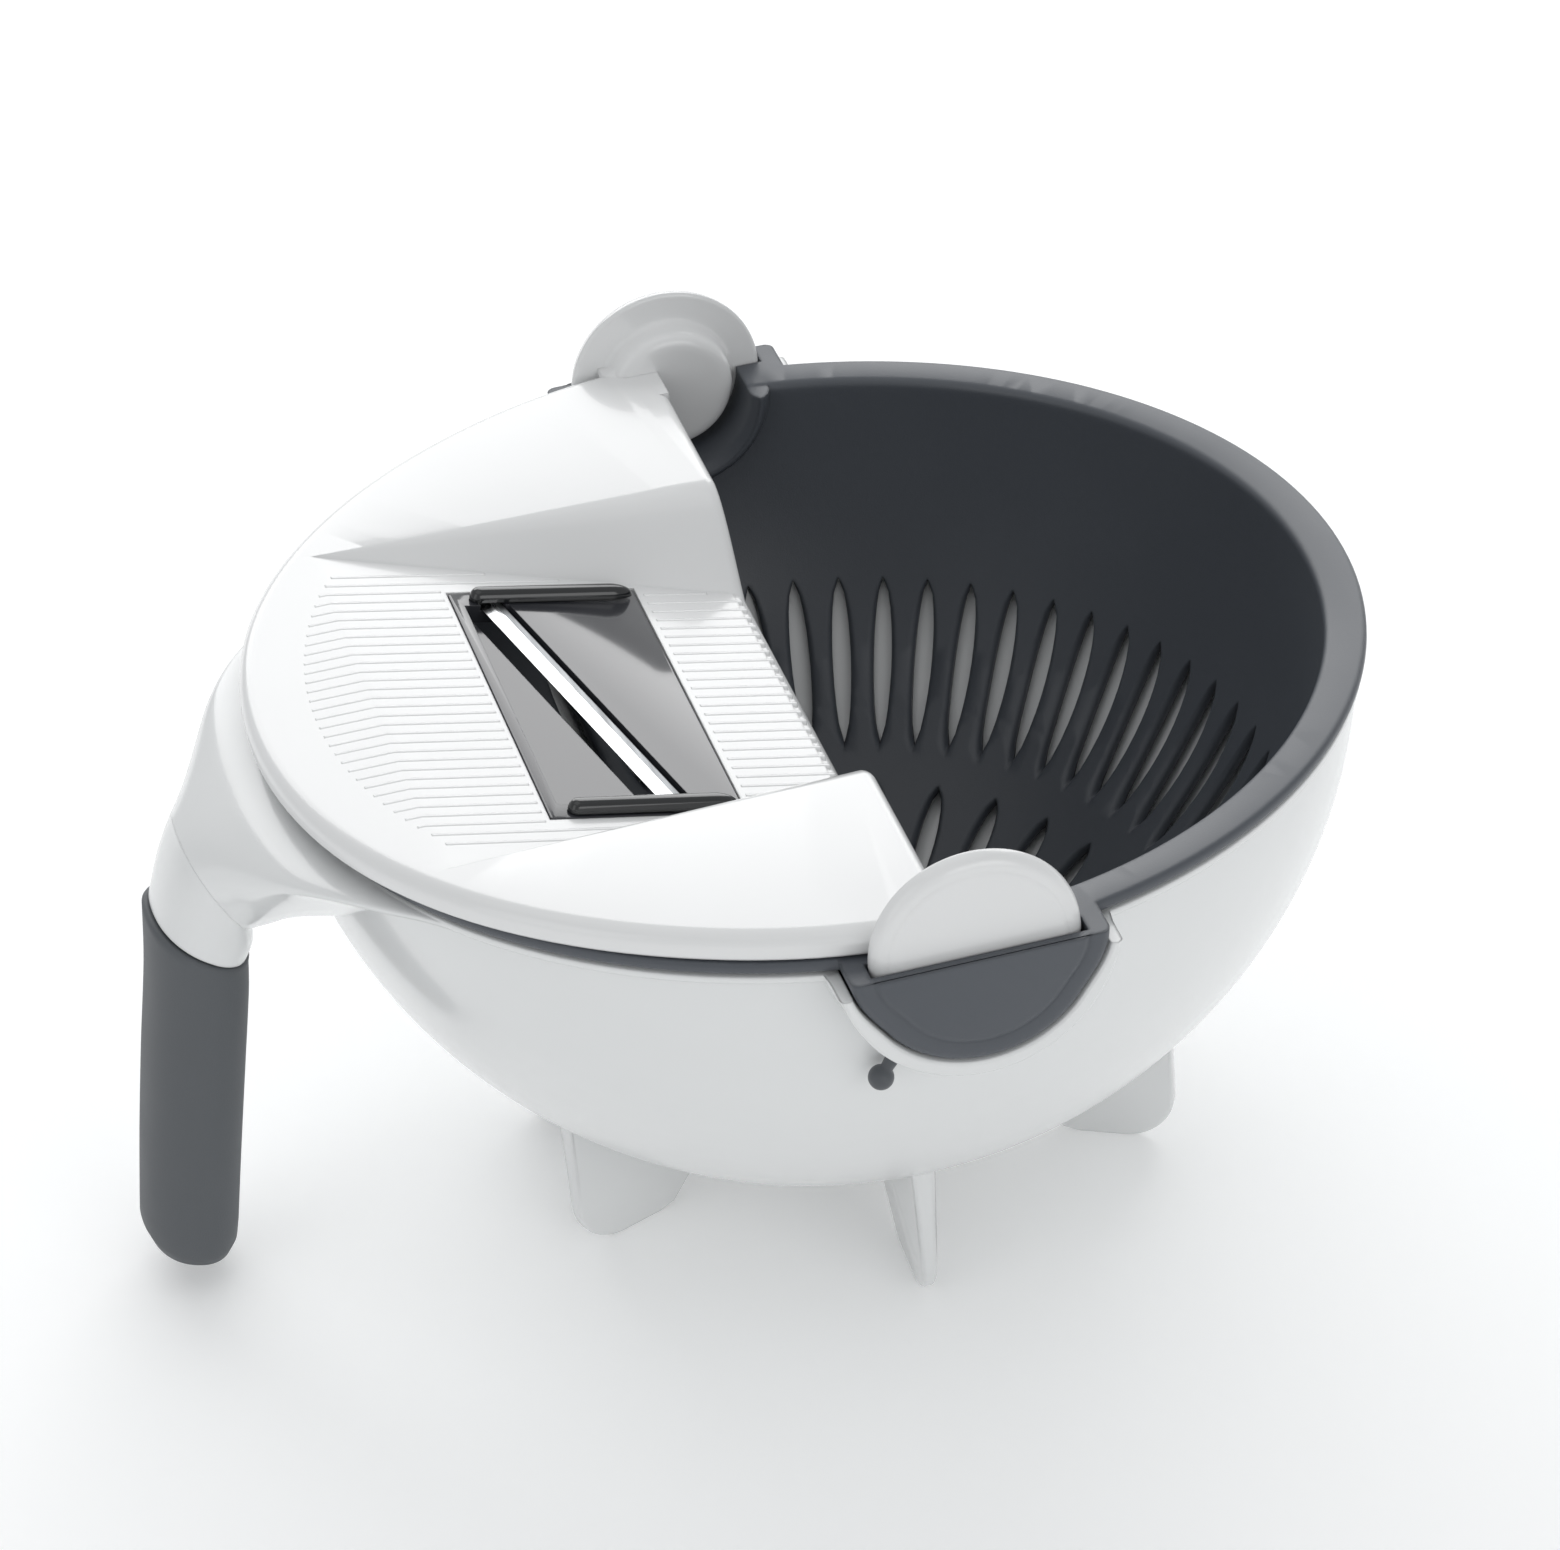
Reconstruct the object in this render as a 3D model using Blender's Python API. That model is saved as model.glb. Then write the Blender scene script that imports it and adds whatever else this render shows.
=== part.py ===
"""Rotary cheese grater: a grater lid and a drain basket that hang in a handled bowl.

The ear axis is the line on which the lid's two ear discs turn. Each outline below is given
in millimetres from the middle of that axis: x points away from the handle, z points up.
"""
from math import atan, atan2, cos, degrees, pi, radians, sin

import bmesh
import bpy
from mathutils import Vector

MM = 0.001

# Bowl
BOWL_RADIUS = 108.6
BOWL_DEPTH = 105.5
BOWL_FULLNESS = 1.94
BOWL_WALL = 2.5
RIM_DROP = 3.4
LIP_OVERHANG = 1.2
LIP_THICKNESS = 1.6
SEGMENTS = 64
DOME_STEPS = 12

# Feet
FOOT_ANGLES = (29, 92, 158, -158, -92, -29)
FOOT_REACH = 69.8
FOOT_ROOT = 34.0
FOOT_HEIGHT = 7.6
FOOT_THICKNESS = 5.0
FOOT_TIP_THICKNESS = 2.6
FOOT_CORNER = 11.0

# Drain basket
BASKET_GAP = 2.1
BASKET_WALL = 2.0
BASKET_DEPTH = 99.0
BASKET_TOP = 3.0
FLANGE_OVERHANG = 1.9
FLANGE_THICKNESS = 2.4
FLANGE_ROUND = 0.7
UPPER_SLOTS = 60
UPPER_SLOT_TOP = 44.5
UPPER_SLOT_BOTTOM = 72.5
LOWER_SLOTS = 30
LOWER_SLOT_OUTER = 65.0
LOWER_SLOT_INNER = 44.0
SLOT_WIDTH = 3.4

# Ears
DISC_RADIUS = 20.5
DISC_THICKNESS = 3.6
DISC_REACH = 5.7
DISC_ROUND = 0.5
DISC_DOME = 2.2
DISC_PANEL_RADIUS = 17.2
DISC_PANEL_HEIGHT = 0.3
HUB_RADIUS = 13.8
HUB_INSET = 4.1
HUB_NOSE = 2.4
TURNING_GAP = 0.5
SADDLE_GAP = 1.6
POCKET_WALL = 1.8
POCKET_FLARE = 2.2
POCKET_PANEL_HEIGHT = 0.5
POCKET_RIM = 4.4
SEAT_GAP = 0.4
CRADLE_WALL = 3.4
CRADLE_FLARE = 0.7
CRADLE_SETBACK = 0.6

# Lid
LID_SETBACK = 0.2
LID_HEIGHT = 6.0
LID_WALL = 2.8
LID_CHORD = 3.0
LID_ROUND = 2.4
LID_SWELL = 2.9
LID_SWELL_ANGLE = 66.0
VALLEY_DEPTH = 18.0
VALLEY_LENGTH = 85.0
VALLEY_HALF_WIDTH = 60.0
VALLEY_BANK = 1.1

# Insert
INSERT_LENGTH = 87.0
INSERT_WIDTH = 39.0
INSERT_DEPTH = 4.0
INSERT_CENTRE = 44.65
INSERT_LEDGE = 2.0
INSERT_RIM = 1.2
FRAME_BORDER = 2.4
FEED_STEP = 2.5
BLADE_LENGTH = 84.0
BLADE_WIDTH = 4.6
BLADE_THICKNESS = 0.7
BLADE_BEVEL = 1.3
BLADE_ANGLE = 13.2
BLADE_SHIFT = 2.1
SLICE_GAP = 2.6
RELIEF_GAP = 1.0
CLAMP_LENGTH = 34.2
CLAMP_WIDTH = 4.1
CLAMP_HEIGHT = 2.6
CLAMP_INSET = 0.6

# Handle
TONGUE_LENGTH = 12.0
TONGUE_HALF_WIDTH = 11.0
TONGUE_HALF_HEIGHT = 7.0
SLEEVE_WALL = 3.0
HANDLE_REACH = 149.0
SCREW_SPACING = 11.0
SCREW_RADIUS = 1.5
SCREW_HEAD_RADIUS = 2.9
SCREW_HEAD_HEIGHT = 1.8
SCREW_RECESS = 10.6

# Lock pin
PIN_ANGLE = 33.0
PIN_RADIUS = 1.5
PIN_BALL_RADIUS = 2.5
PIN_BALL_OUT = 34.2
PIN_SETBACK = 9.8

FIT_GAP = 0.3
AXIS_HEIGHT = RIM_DROP + BOWL_DEPTH + FOOT_HEIGHT
LIP_RADIUS = BOWL_RADIUS + LIP_OVERHANG
FLANGE_RADIUS = BOWL_RADIUS + FLANGE_OVERHANG
LID_RADIUS = FLANGE_RADIUS - LID_SETBACK
DISC_FACE = BOWL_RADIUS + DISC_REACH
HUB_START = BOWL_RADIUS - HUB_INSET
BOWL_X = (HANDLE_REACH - FLANGE_RADIUS) / 2
BASKET_RADIUS = BOWL_RADIUS - BOWL_WALL - BASKET_GAP
POCKET_RADIUS = DISC_RADIUS + TURNING_GAP + POCKET_WALL
POCKET_FACE = DISC_FACE + DISC_PANEL_HEIGHT + TURNING_GAP + POCKET_WALL
CRADLE_RADIUS = POCKET_RADIUS + SEAT_GAP
VALLEY_ANGLE = atan(VALLEY_DEPTH / VALLEY_LENGTH)

# Handle stations: top point (x, z), bottom point (x, z), half width
SEAM = ((-130.4, -12.8), (-118.6, -34.4), 16.2)
NECK = (
    SEAM,
    ((-132.8, -17.0), (-118.4, -36.9), 15.6),
    ((-135.0, -22.2), (-118.7, -39.0), 15.2),
    ((-137.4, -29.6), (-119.9, -41.4), 14.8),
)
GRIP = (
    ((-138.2, -29.6), (-119.2, -41.8), 15.3),
    ((-140.4, -45.0), (-120.8, -51.0), 15.3),
    ((-143.6, -65.0), (-123.9, -70.0), 15.1),
    ((-146.4, -84.0), (-127.0, -89.0), 14.8),
    ((-148.5, -100.0), (-129.5, -105.0), 14.5),
)
GRIP_END = (
    ((-HANDLE_REACH, -103.8), (-130.2, -108.8), 13.9),
    ((-147.9, -107.2), (-131.6, -111.4), 12.2),
    ((-144.9, -109.4), (-134.2, -112.2), 9.0),
)


def clear_scene():
    for old in list(bpy.data.objects):
        bpy.data.objects.remove(old, do_unlink=True)


def frame(name, x, y, z, tilt, parent=None):
    """An empty that carries one group of pieces, turned by `tilt` about the y axis."""
    empty = bpy.data.objects.new(name, None)
    bpy.context.scene.collection.objects.link(empty)
    empty.empty_display_size = 0.01
    empty.location = (x * MM, y * MM, z * MM)
    empty.rotation_euler = (0, tilt, 0)
    empty.parent = parent
    return empty


def solid(name, points, faces, parent):
    """A closed body from points in millimetres, with every face turned outward."""
    mesh = bpy.data.meshes.new(name)
    mesh.from_pydata([Vector(point) * MM for point in points], [], faces)
    bm = bmesh.new()
    bm.from_mesh(mesh)
    bmesh.ops.triangulate(bm, faces=[face for face in bm.faces if len(face.verts) == 4])
    bmesh.ops.recalc_face_normals(bm, faces=bm.faces)
    bm.to_mesh(mesh)
    bm.free()
    mesh.shade_smooth()
    mesh.set_sharp_from_angle(angle=radians(32))
    body = bpy.data.objects.new(name, mesh)
    bpy.context.scene.collection.objects.link(body)
    body.parent = parent
    return body


def loft(name, rings, parent):
    """A body skinned over closed rings that all have the same number of points."""
    count = len(rings[0])
    points = [point for ring in rings for point in ring]
    faces = [tuple(range(count)), tuple(range(len(points) - count, len(points)))]
    for row in range(len(rings) - 1):
        for i in range(count):
            j = (i + 1) % count
            faces.append((row * count + i, row * count + j,
                          (row + 1) * count + j, (row + 1) * count + i))
    return solid(name, points, faces, parent)


def turned(name, profile, parent, segments=SEGMENTS, swell=0.0, spread=1.0):
    """A body turned about z from a profile (radius, z) that starts and ends on the axis.

    `swell` pushes the wall out on the -x side, fading to nothing `spread` degrees from it.
    """
    middle = profile[1:-1]
    points = [(0, 0, profile[0][1]), (0, 0, profile[-1][1])]
    for radius, z in middle:
        for i in range(segments):
            angle = 2 * pi * i / segments
            away = abs(180 - degrees(angle))
            reach = radius + swell * smoothstep(1.35 * (1 - away / spread)) * (radius > 90)
            points.append((reach * cos(angle), reach * sin(angle), z))
    faces = []
    last = 2 + (len(middle) - 1) * segments
    for i in range(segments):
        j = (i + 1) % segments
        faces.append((0, 2 + j, 2 + i))
        faces.append((1, last + i, last + j))
        for row in range(len(middle) - 1):
            low = 2 + row * segments
            high = low + segments
            faces.append((low + i, low + j, high + j, high + i))
    return solid(name, points, faces, parent)


def rod(name, stations, parent, centre=(0, 0), along="Z", sides=32):
    """A round bar through stations (position, radius), with its axis on y or z."""
    rings = []
    for position, radius in stations:
        ring = []
        for i in range(sides):
            a = centre[0] + radius * cos(2 * pi * i / sides)
            b = centre[1] + radius * sin(2 * pi * i / sides)
            ring.append((a, position, b) if along == "Y" else (a, b, position))
        rings.append(ring)
    return loft(name, rings, parent)


def box(name, low, high, parent):
    """A rectangular block between two corners."""
    ring = [(low[0], low[1]), (high[0], low[1]), (high[0], high[1]), (low[0], high[1])]
    rings = [[(x, y, z) for x, y in ring] for z in (low[2], high[2])]
    return loft(name, rings, parent)


def combine(body, tool, operation):
    """Adds a live Boolean to the body and keeps its tool out of the finished part."""
    modifier = body.modifiers.new(tool.name, "BOOLEAN")
    modifier.operation = operation
    modifier.solver = "EXACT"
    modifier.object = tool
    tool.hide_render = True
    tool.display_type = "WIRE"


def finish(body, colour, roughness, metallic=0.0, coat=0.0):
    """Gives a piece its own material."""
    material = bpy.data.materials.new(body.name + "_material")
    material.use_nodes = True
    shader = material.node_tree.nodes["Principled BSDF"]
    shader.inputs["Base Color"].default_value = (*colour, 1.0)
    shader.inputs["Roughness"].default_value = roughness
    shader.inputs["Metallic"].default_value = metallic
    shader.inputs["Coat Weight"].default_value = coat
    body.data.materials.append(material)


def smoothstep(value):
    held = min(max(value, 0.0), 1.0)
    return held * held * (3 - 2 * held)


def dome(radius, depth, top, fullness):
    """Profile of a bowl from its lowest point up to its rim."""
    profile = []
    for step in range(DOME_STEPS + 1):
        angle = pi / 2 * (1 - step / DOME_STEPS)
        r = radius * cos(angle) ** (2 / fullness)
        profile.append((0.0 if step == 0 else r, top - depth * sin(angle) ** (2 / fullness)))
    return profile


def dome_height(radius, depth, top, fullness, r):
    """Height of a bowl profile at radius r."""
    return top - depth * (1 - (r / radius) ** fullness) ** (1 / fullness)


def ear_outline(radius, flare, top, steps=28):
    """Half-round outline (x, z) under the ear axis that flares at its two upper corners."""
    outline = []
    for step in range(steps + 1):
        angle = -90 + 180 * step / steps
        reach = radius + flare * smoothstep((abs(angle) - 55) / 35)
        z = -reach * cos(radians(angle))
        if z < top - 0.5 or 0 < step < steps and z < top - 0.1:
            outline.append((reach * sin(radians(angle)), z))
    wide = radius + flare
    return [(-wide, top)] + [p for p in outline if abs(p[0]) < wide] + [(wide, top)]


def ear_body(name, side, layers, flare, top, parent):
    """A half-round block through layers (distance along the ear axis, radius)."""
    rings = []
    for reach, radius in layers:
        rings.append([(x, side * reach, z) for x, z in ear_outline(radius, flare, top)])
    return loft(name, rings, parent)


def section(top, bottom, half_width, side=0.5, crown=2.3, belly=0.48, sides=32):
    """A closed cross-section spread between its top and bottom points on the middle plane.

    `side` is how far down the widest line lies; `crown` and `belly` shape the two halves.
    """
    ring = []
    for i in range(sides):
        angle = 2 * pi * i / sides
        q = cos(angle)
        if sin(angle) >= 0:
            lift = side * (1 - abs(q) ** crown) ** (1 / crown)
        else:
            lift = -(1 - side) * (1 - q * q) ** belly
        share = side - lift
        x = top[0] + (bottom[0] - top[0]) * share
        z = top[1] + (bottom[1] - top[1]) * share
        ring.append((x, half_width * q, z))
    return ring


def inset(station, margin):
    """The same handle station made smaller by a margin on every side."""
    top = Vector(station[0])
    bottom = Vector(station[1])
    step = (bottom - top).normalized() * margin
    return tuple(top + step), tuple(bottom - step), station[2] - margin


def shifted(station, distance):
    """The same handle station moved square to itself, toward the grip."""
    top = Vector(station[0])
    bottom = Vector(station[1])
    up = (top - bottom).normalized()
    along = Vector((-up.y, up.x)) * distance
    return tuple(top + along), tuple(bottom + along), station[2]


def tongue(station, growth, length):
    """Rings of the flat tongue that plugs the handle into the arm, tip first."""
    top = Vector(station[0])
    bottom = Vector(station[1])
    centre = (top + bottom) / 2
    up = (top - bottom).normalized()
    along = Vector((-up.y, up.x))
    half = up * (TONGUE_HALF_HEIGHT + growth)
    rings = []
    for distance in (-length, 1.0):
        middle = centre + along * distance
        rings.append(section(middle + half, middle - half, TONGUE_HALF_WIDTH + growth, 0.5, 5, 0.2))
    return rings


def arm_stations():
    """Cross-sections of the arm from inside the bowl wall out to the handle seam."""
    lip = -RIM_DROP - 0.1
    return (
        section((-84.0, lip), (-84.0, -37.0), 68.5, 0.045, 8, 1.9),
        section((-88.0, lip), (-88.0, -36.4), 65.0, 0.045, 8, 1.9),
        section((-93.0, lip), (-93.0, -35.6), 59.8, 0.045, 8, 1.8),
        section((-98.5, lip), (-98.5, -34.0), 55.2, 0.045, 8, 1.6),
        section((-104.0, lip), (-104.0, -33.0), 50.0, 0.05, 8, 1.45),
        section((-110.0, lip - 0.3), (-109.6, -32.2), 43.4, 0.07, 6, 1.25),
        section((-116.0, -4.9), (-112.6, -32.4), 35.4, 0.13, 4.5, 1.0),
        section((-121.4, -7.2), (-115.0, -33.2), 27.4, 0.24, 3.2, 0.75),
        section((-126.4, -9.9), (-117.0, -34.0), 20.4, 0.38, 2.6, 0.58),
        section(*SEAM),
    )


def handle_arm(parent):
    """The arm that sweeps out of the bowl rim to the handle seam."""
    return loft("arm_form", arm_stations(), parent)


def bowl_foot(angle, parent):
    """One radial fin; its upper edge is buried in the bowl wall."""
    buried = BOWL_WALL / 2
    floor = -AXIS_HEIGHT
    outline = []
    for step in range(7):
        r = FOOT_ROOT + (FOOT_REACH - FOOT_ROOT) * step / 6
        z = dome_height(BOWL_RADIUS - buried, BOWL_DEPTH - buried, -RIM_DROP, BOWL_FULLNESS, r)
        outline.append((r, z))
    for step in range(7):
        turn = pi / 2 * step / 6
        outline.append((FOOT_REACH - FOOT_CORNER * (1 - cos(turn)),
                        floor + FOOT_CORNER * (1 - sin(turn))))
    outline.append((FOOT_REACH - 20.0, floor))
    outline.append((FOOT_REACH - 23.5, floor + 0.8))
    rings = []
    heights = [z for _, z in outline]
    span = max(heights) - floor
    direction = Vector((cos(radians(angle)), sin(radians(angle)), 0))
    across = Vector((-direction.y, direction.x, 0))
    for side in (-1, 1):
        ring = []
        for r, z in outline:
            half = FOOT_TIP_THICKNESS + (FOOT_THICKNESS - FOOT_TIP_THICKNESS) * (z - floor) / span
            ring.append(direction * r + across * side * half / 2 + Vector((0, 0, z)))
        rings.append(ring)
    return loft("foot_form", rings, parent)


def cradle(side, parent):
    """The half-round wall outside the bowl that an ear pocket hangs in."""
    face = POCKET_FACE - CRADLE_SETBACK
    radius = CRADLE_RADIUS + CRADLE_WALL
    layers = ((92.0, radius), (face - 1.0, radius), (face - 0.3, radius - 0.3), (face, radius - 1.0))
    return ear_body("cradle_form", side, layers, CRADLE_FLARE, -RIM_DROP, parent)


def screw_frames(parent):
    """Frames of the two handle screws: z runs up the screw, into the tongue."""
    top = Vector(SEAM[0])
    bottom = Vector(SEAM[1])
    up = (top - bottom).normalized()
    along = Vector((-up.y, up.x))
    centre = (top + bottom) / 2 - along * TONGUE_LENGTH / 2
    tilt = atan2(up.x, up.y)
    frames = []
    for number, side in ((1, -1), (2, 1)):
        y = side * SCREW_SPACING / 2
        frames.append(frame(f"screw_line_{number}", centre.x, y, centre.y, tilt, parent))
    return frames


def outer_bowl(parent, screws, pin_line):
    """White bowl moulding: dome, rim lip, arm, ear cradles and feet in one piece."""
    profile = dome(BOWL_RADIUS, BOWL_DEPTH, -RIM_DROP, BOWL_FULLNESS)
    profile = [p for p in profile if p[1] < -RIM_DROP - LIP_THICKNESS - 1.0]
    top = -RIM_DROP
    profile += [
        (BOWL_RADIUS - 0.1, top - LIP_THICKNESS - 0.3),
        (LIP_RADIUS - 0.4, top - LIP_THICKNESS),
        (LIP_RADIUS, top - LIP_THICKNESS + 0.4),
        (LIP_RADIUS, top - 0.5),
        (LIP_RADIUS - 0.5, top),
        (0, top),
    ]
    bowl = turned("outer_bowl", profile, parent)
    combine(bowl, handle_arm(parent), "UNION")
    for angle in FOOT_ANGLES:
        combine(bowl, bowl_foot(angle, parent), "UNION")
    for side in (-1, 1):
        combine(bowl, cradle(side, parent), "UNION")
    hollow = dome(BOWL_RADIUS - BOWL_WALL, BOWL_DEPTH - BOWL_WALL, top, BOWL_FULLNESS)
    hollow += [(BOWL_RADIUS - BOWL_WALL, 8.0), (0, 8.0)]
    combine(bowl, turned("bowl_hollow", hollow, parent), "DIFFERENCE")
    for side in (-1, 1):
        layers = ((85.0, CRADLE_RADIUS), (POCKET_FACE + 8.0, CRADLE_RADIUS))
        notch = ear_body("pocket_notch", side, layers, POCKET_FLARE, 9.0, parent)
        combine(bowl, notch, "DIFFERENCE")
    socket = loft("tongue_socket", tongue(SEAM, FIT_GAP, TONGUE_LENGTH + FIT_GAP), parent)
    combine(bowl, socket, "DIFFERENCE")
    for line in screws:
        stations = (
            (-24.0, SCREW_HEAD_RADIUS + FIT_GAP),
            (-SCREW_RECESS + FIT_GAP, SCREW_HEAD_RADIUS + FIT_GAP),
            (-SCREW_RECESS + FIT_GAP, SCREW_RADIUS + FIT_GAP),
            (-TONGUE_HALF_HEIGHT + 1.0, SCREW_RADIUS + FIT_GAP),
        )
        combine(bowl, rod("screw_bore", stations, line, sides=20), "DIFFERENCE")
    bore = ((-CRADLE_RADIUS - CRADLE_WALL - 1.6, PIN_RADIUS + FIT_GAP),
            (-CRADLE_RADIUS + 2.0, PIN_RADIUS + FIT_GAP))
    combine(bowl, rod("pin_bore", bore, pin_line, sides=20), "DIFFERENCE")
    finish(bowl, (0.86, 0.87, 0.87), 0.22, coat=0.3)
    return bowl


def slot_lens(width):
    """Half of a slot outline: (share along the slot, half width), end to end."""
    lens = []
    for share in (-1.0, -0.5, 0.5, 1.0):
        lens.append((share, width / 2 * (1 - share * share) ** 0.3))
    return lens


def slot_cutters(parent):
    """Both rings of drain slots; the lower ring is cut straight down through the floor."""
    points = []
    faces = []
    upper = slot_lens(SLOT_WIDTH)
    middle = -(UPPER_SLOT_TOP + UPPER_SLOT_BOTTOM) / 2
    reach = (UPPER_SLOT_BOTTOM - UPPER_SLOT_TOP) / 2
    outline = [(half, middle + share * reach) for share, half in upper]
    outline += [(-half, middle + share * reach) for share, half in reversed(upper[1:-1])]
    for number in range(UPPER_SLOTS):
        angle = 2 * pi * number / UPPER_SLOTS
        for radius in (60.0, BASKET_RADIUS + 4.0):
            for offset, z in outline:
                points.append((radius * cos(angle) - offset * sin(angle),
                               radius * sin(angle) + offset * cos(angle), z))
    lower = slot_lens(SLOT_WIDTH)
    middle = (LOWER_SLOT_OUTER + LOWER_SLOT_INNER) / 2
    reach = (LOWER_SLOT_OUTER - LOWER_SLOT_INNER) / 2
    outline = [(half, middle + share * reach) for share, half in lower]
    outline += [(-half, middle + share * reach) for share, half in reversed(lower[1:-1])]
    for number in range(LOWER_SLOTS):
        angle = 2 * pi * (number + 0.5) / LOWER_SLOTS
        for z in (-BASKET_DEPTH - BASKET_TOP - 4.0, -68.0):
            for offset, radius in outline:
                points.append((radius * cos(angle) - offset * sin(angle),
                               radius * sin(angle) + offset * cos(angle), z))
    count = len(outline)
    for start in range(0, len(points), 2 * count):
        faces.append(tuple(range(start, start + count)))
        faces.append(tuple(range(start + count, start + 2 * count)))
        for i in range(count):
            j = (i + 1) % count
            faces.append((start + i, start + j, start + count + j, start + count + i))
    return solid("slot_cutters", points, faces, parent)


def drain_basket(parent):
    """Grey strainer: dome, flange and two ear pockets in one piece."""
    profile = dome(BASKET_RADIUS, BASKET_DEPTH, -BASKET_TOP, 2)
    profile = [p for p in profile if p[1] < -BASKET_TOP - 1.0]
    low = -FLANGE_THICKNESS
    profile += [
        (BASKET_RADIUS, low),
        (FLANGE_RADIUS - FLANGE_ROUND, low),
        (FLANGE_RADIUS, low + FLANGE_ROUND),
        (FLANGE_RADIUS, -FLANGE_ROUND),
        (FLANGE_RADIUS - FLANGE_ROUND, 0),
        (0, 0),
    ]
    basket = turned("drain_basket", profile, parent)
    face = POCKET_FACE
    rim = POCKET_RADIUS - POCKET_RIM
    for side in (-1, 1):
        layers = (
            (92.0, POCKET_RADIUS),
            (face - 1.8, POCKET_RADIUS),
            (face - 0.5, POCKET_RADIUS - 0.6),
            (face, POCKET_RADIUS - 1.9),
            (face - 0.3, rim + 0.5),
            (face + POCKET_PANEL_HEIGHT, rim - 0.7),
        )
        cup = ear_body("pocket_form", side, layers, POCKET_FLARE, 0.0, parent)
        combine(basket, cup, "UNION")
    inner = BASKET_RADIUS - BASKET_WALL
    hollow = dome(inner, BASKET_DEPTH - BASKET_WALL, -BASKET_TOP, 2)
    hollow += [(inner, -1.2), (inner + 0.4, -0.4), (inner + 1.3, 0.1), (inner + 1.3, 8.0), (0, 8.0)]
    combine(basket, turned("basket_hollow", hollow, parent), "DIFFERENCE")
    combine(basket, slot_cutters(parent), "DIFFERENCE")
    back = DISC_FACE - DISC_THICKNESS - TURNING_GAP
    for side in (-1, 1):
        chamber = ((side * back, DISC_RADIUS + TURNING_GAP),
                   (side * (face - POCKET_WALL), DISC_RADIUS + TURNING_GAP))
        combine(basket, rod("disc_chamber", chamber, parent, along="Y", sides=48), "DIFFERENCE")
        saddle = ((side * 85.0, HUB_RADIUS + SADDLE_GAP), (side * (back + 1), HUB_RADIUS + SADDLE_GAP))
        combine(basket, rod("hub_saddle", saddle, parent, along="Y", sides=40), "DIFFERENCE")
    finish(basket, (0.035, 0.040, 0.047), 0.42)
    return basket


def valley_section(x, drop, cover):
    """Cross-section of the lid valley at x: floor and banks, closed off at height `cover`."""
    crest = LID_HEIGHT + 0.15
    floor = LID_HEIGHT - VALLEY_DEPTH * (1 + (x + LID_CHORD) / VALLEY_LENGTH)
    half = VALLEY_HALF_WIDTH - VALLEY_BANK * (crest - floor)
    bank = []
    for step in range(9):
        share = step / 8
        y = half + (VALLEY_HALF_WIDTH - half) * share + drop * 0.5
        bank.append((y, floor + (crest - floor) * sin(pi / 2 * share) - drop))
    edge = bank[-1][0] + drop * 0.2
    ring = [(x, edge, cover)] + [(x, y, z) for y, z in reversed(bank)]
    return ring + [(x, -y, z) for y, z in bank] + [(x, -edge, cover)]


def lid_hub(side, parent):
    """Hub and ear disc of one side, turned about the ear axis."""
    face = DISC_FACE
    back = face - DISC_THICKNESS
    stations = (
        (HUB_START, HUB_RADIUS - HUB_NOSE),
        (HUB_START + HUB_NOSE * 0.3, HUB_RADIUS - HUB_NOSE * 0.3),
        (HUB_START + HUB_NOSE, HUB_RADIUS),
        (back, HUB_RADIUS),
        (back, DISC_RADIUS - DISC_ROUND),
        (back + DISC_ROUND, DISC_RADIUS),
        (back + 2 * DISC_ROUND, DISC_RADIUS),
        (face - DISC_DOME * 0.4, DISC_RADIUS - DISC_DOME * 0.3),
        (face - DISC_DOME * 0.1, DISC_RADIUS - DISC_DOME * 0.7),
        (face, DISC_PANEL_RADIUS + 0.4),
        (face + DISC_PANEL_HEIGHT, DISC_PANEL_RADIUS - 0.3),
    )
    stations = [(side * reach, radius) for reach, radius in stations]
    return rod("hub_form", stations, parent, along="Y", sides=48)


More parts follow.
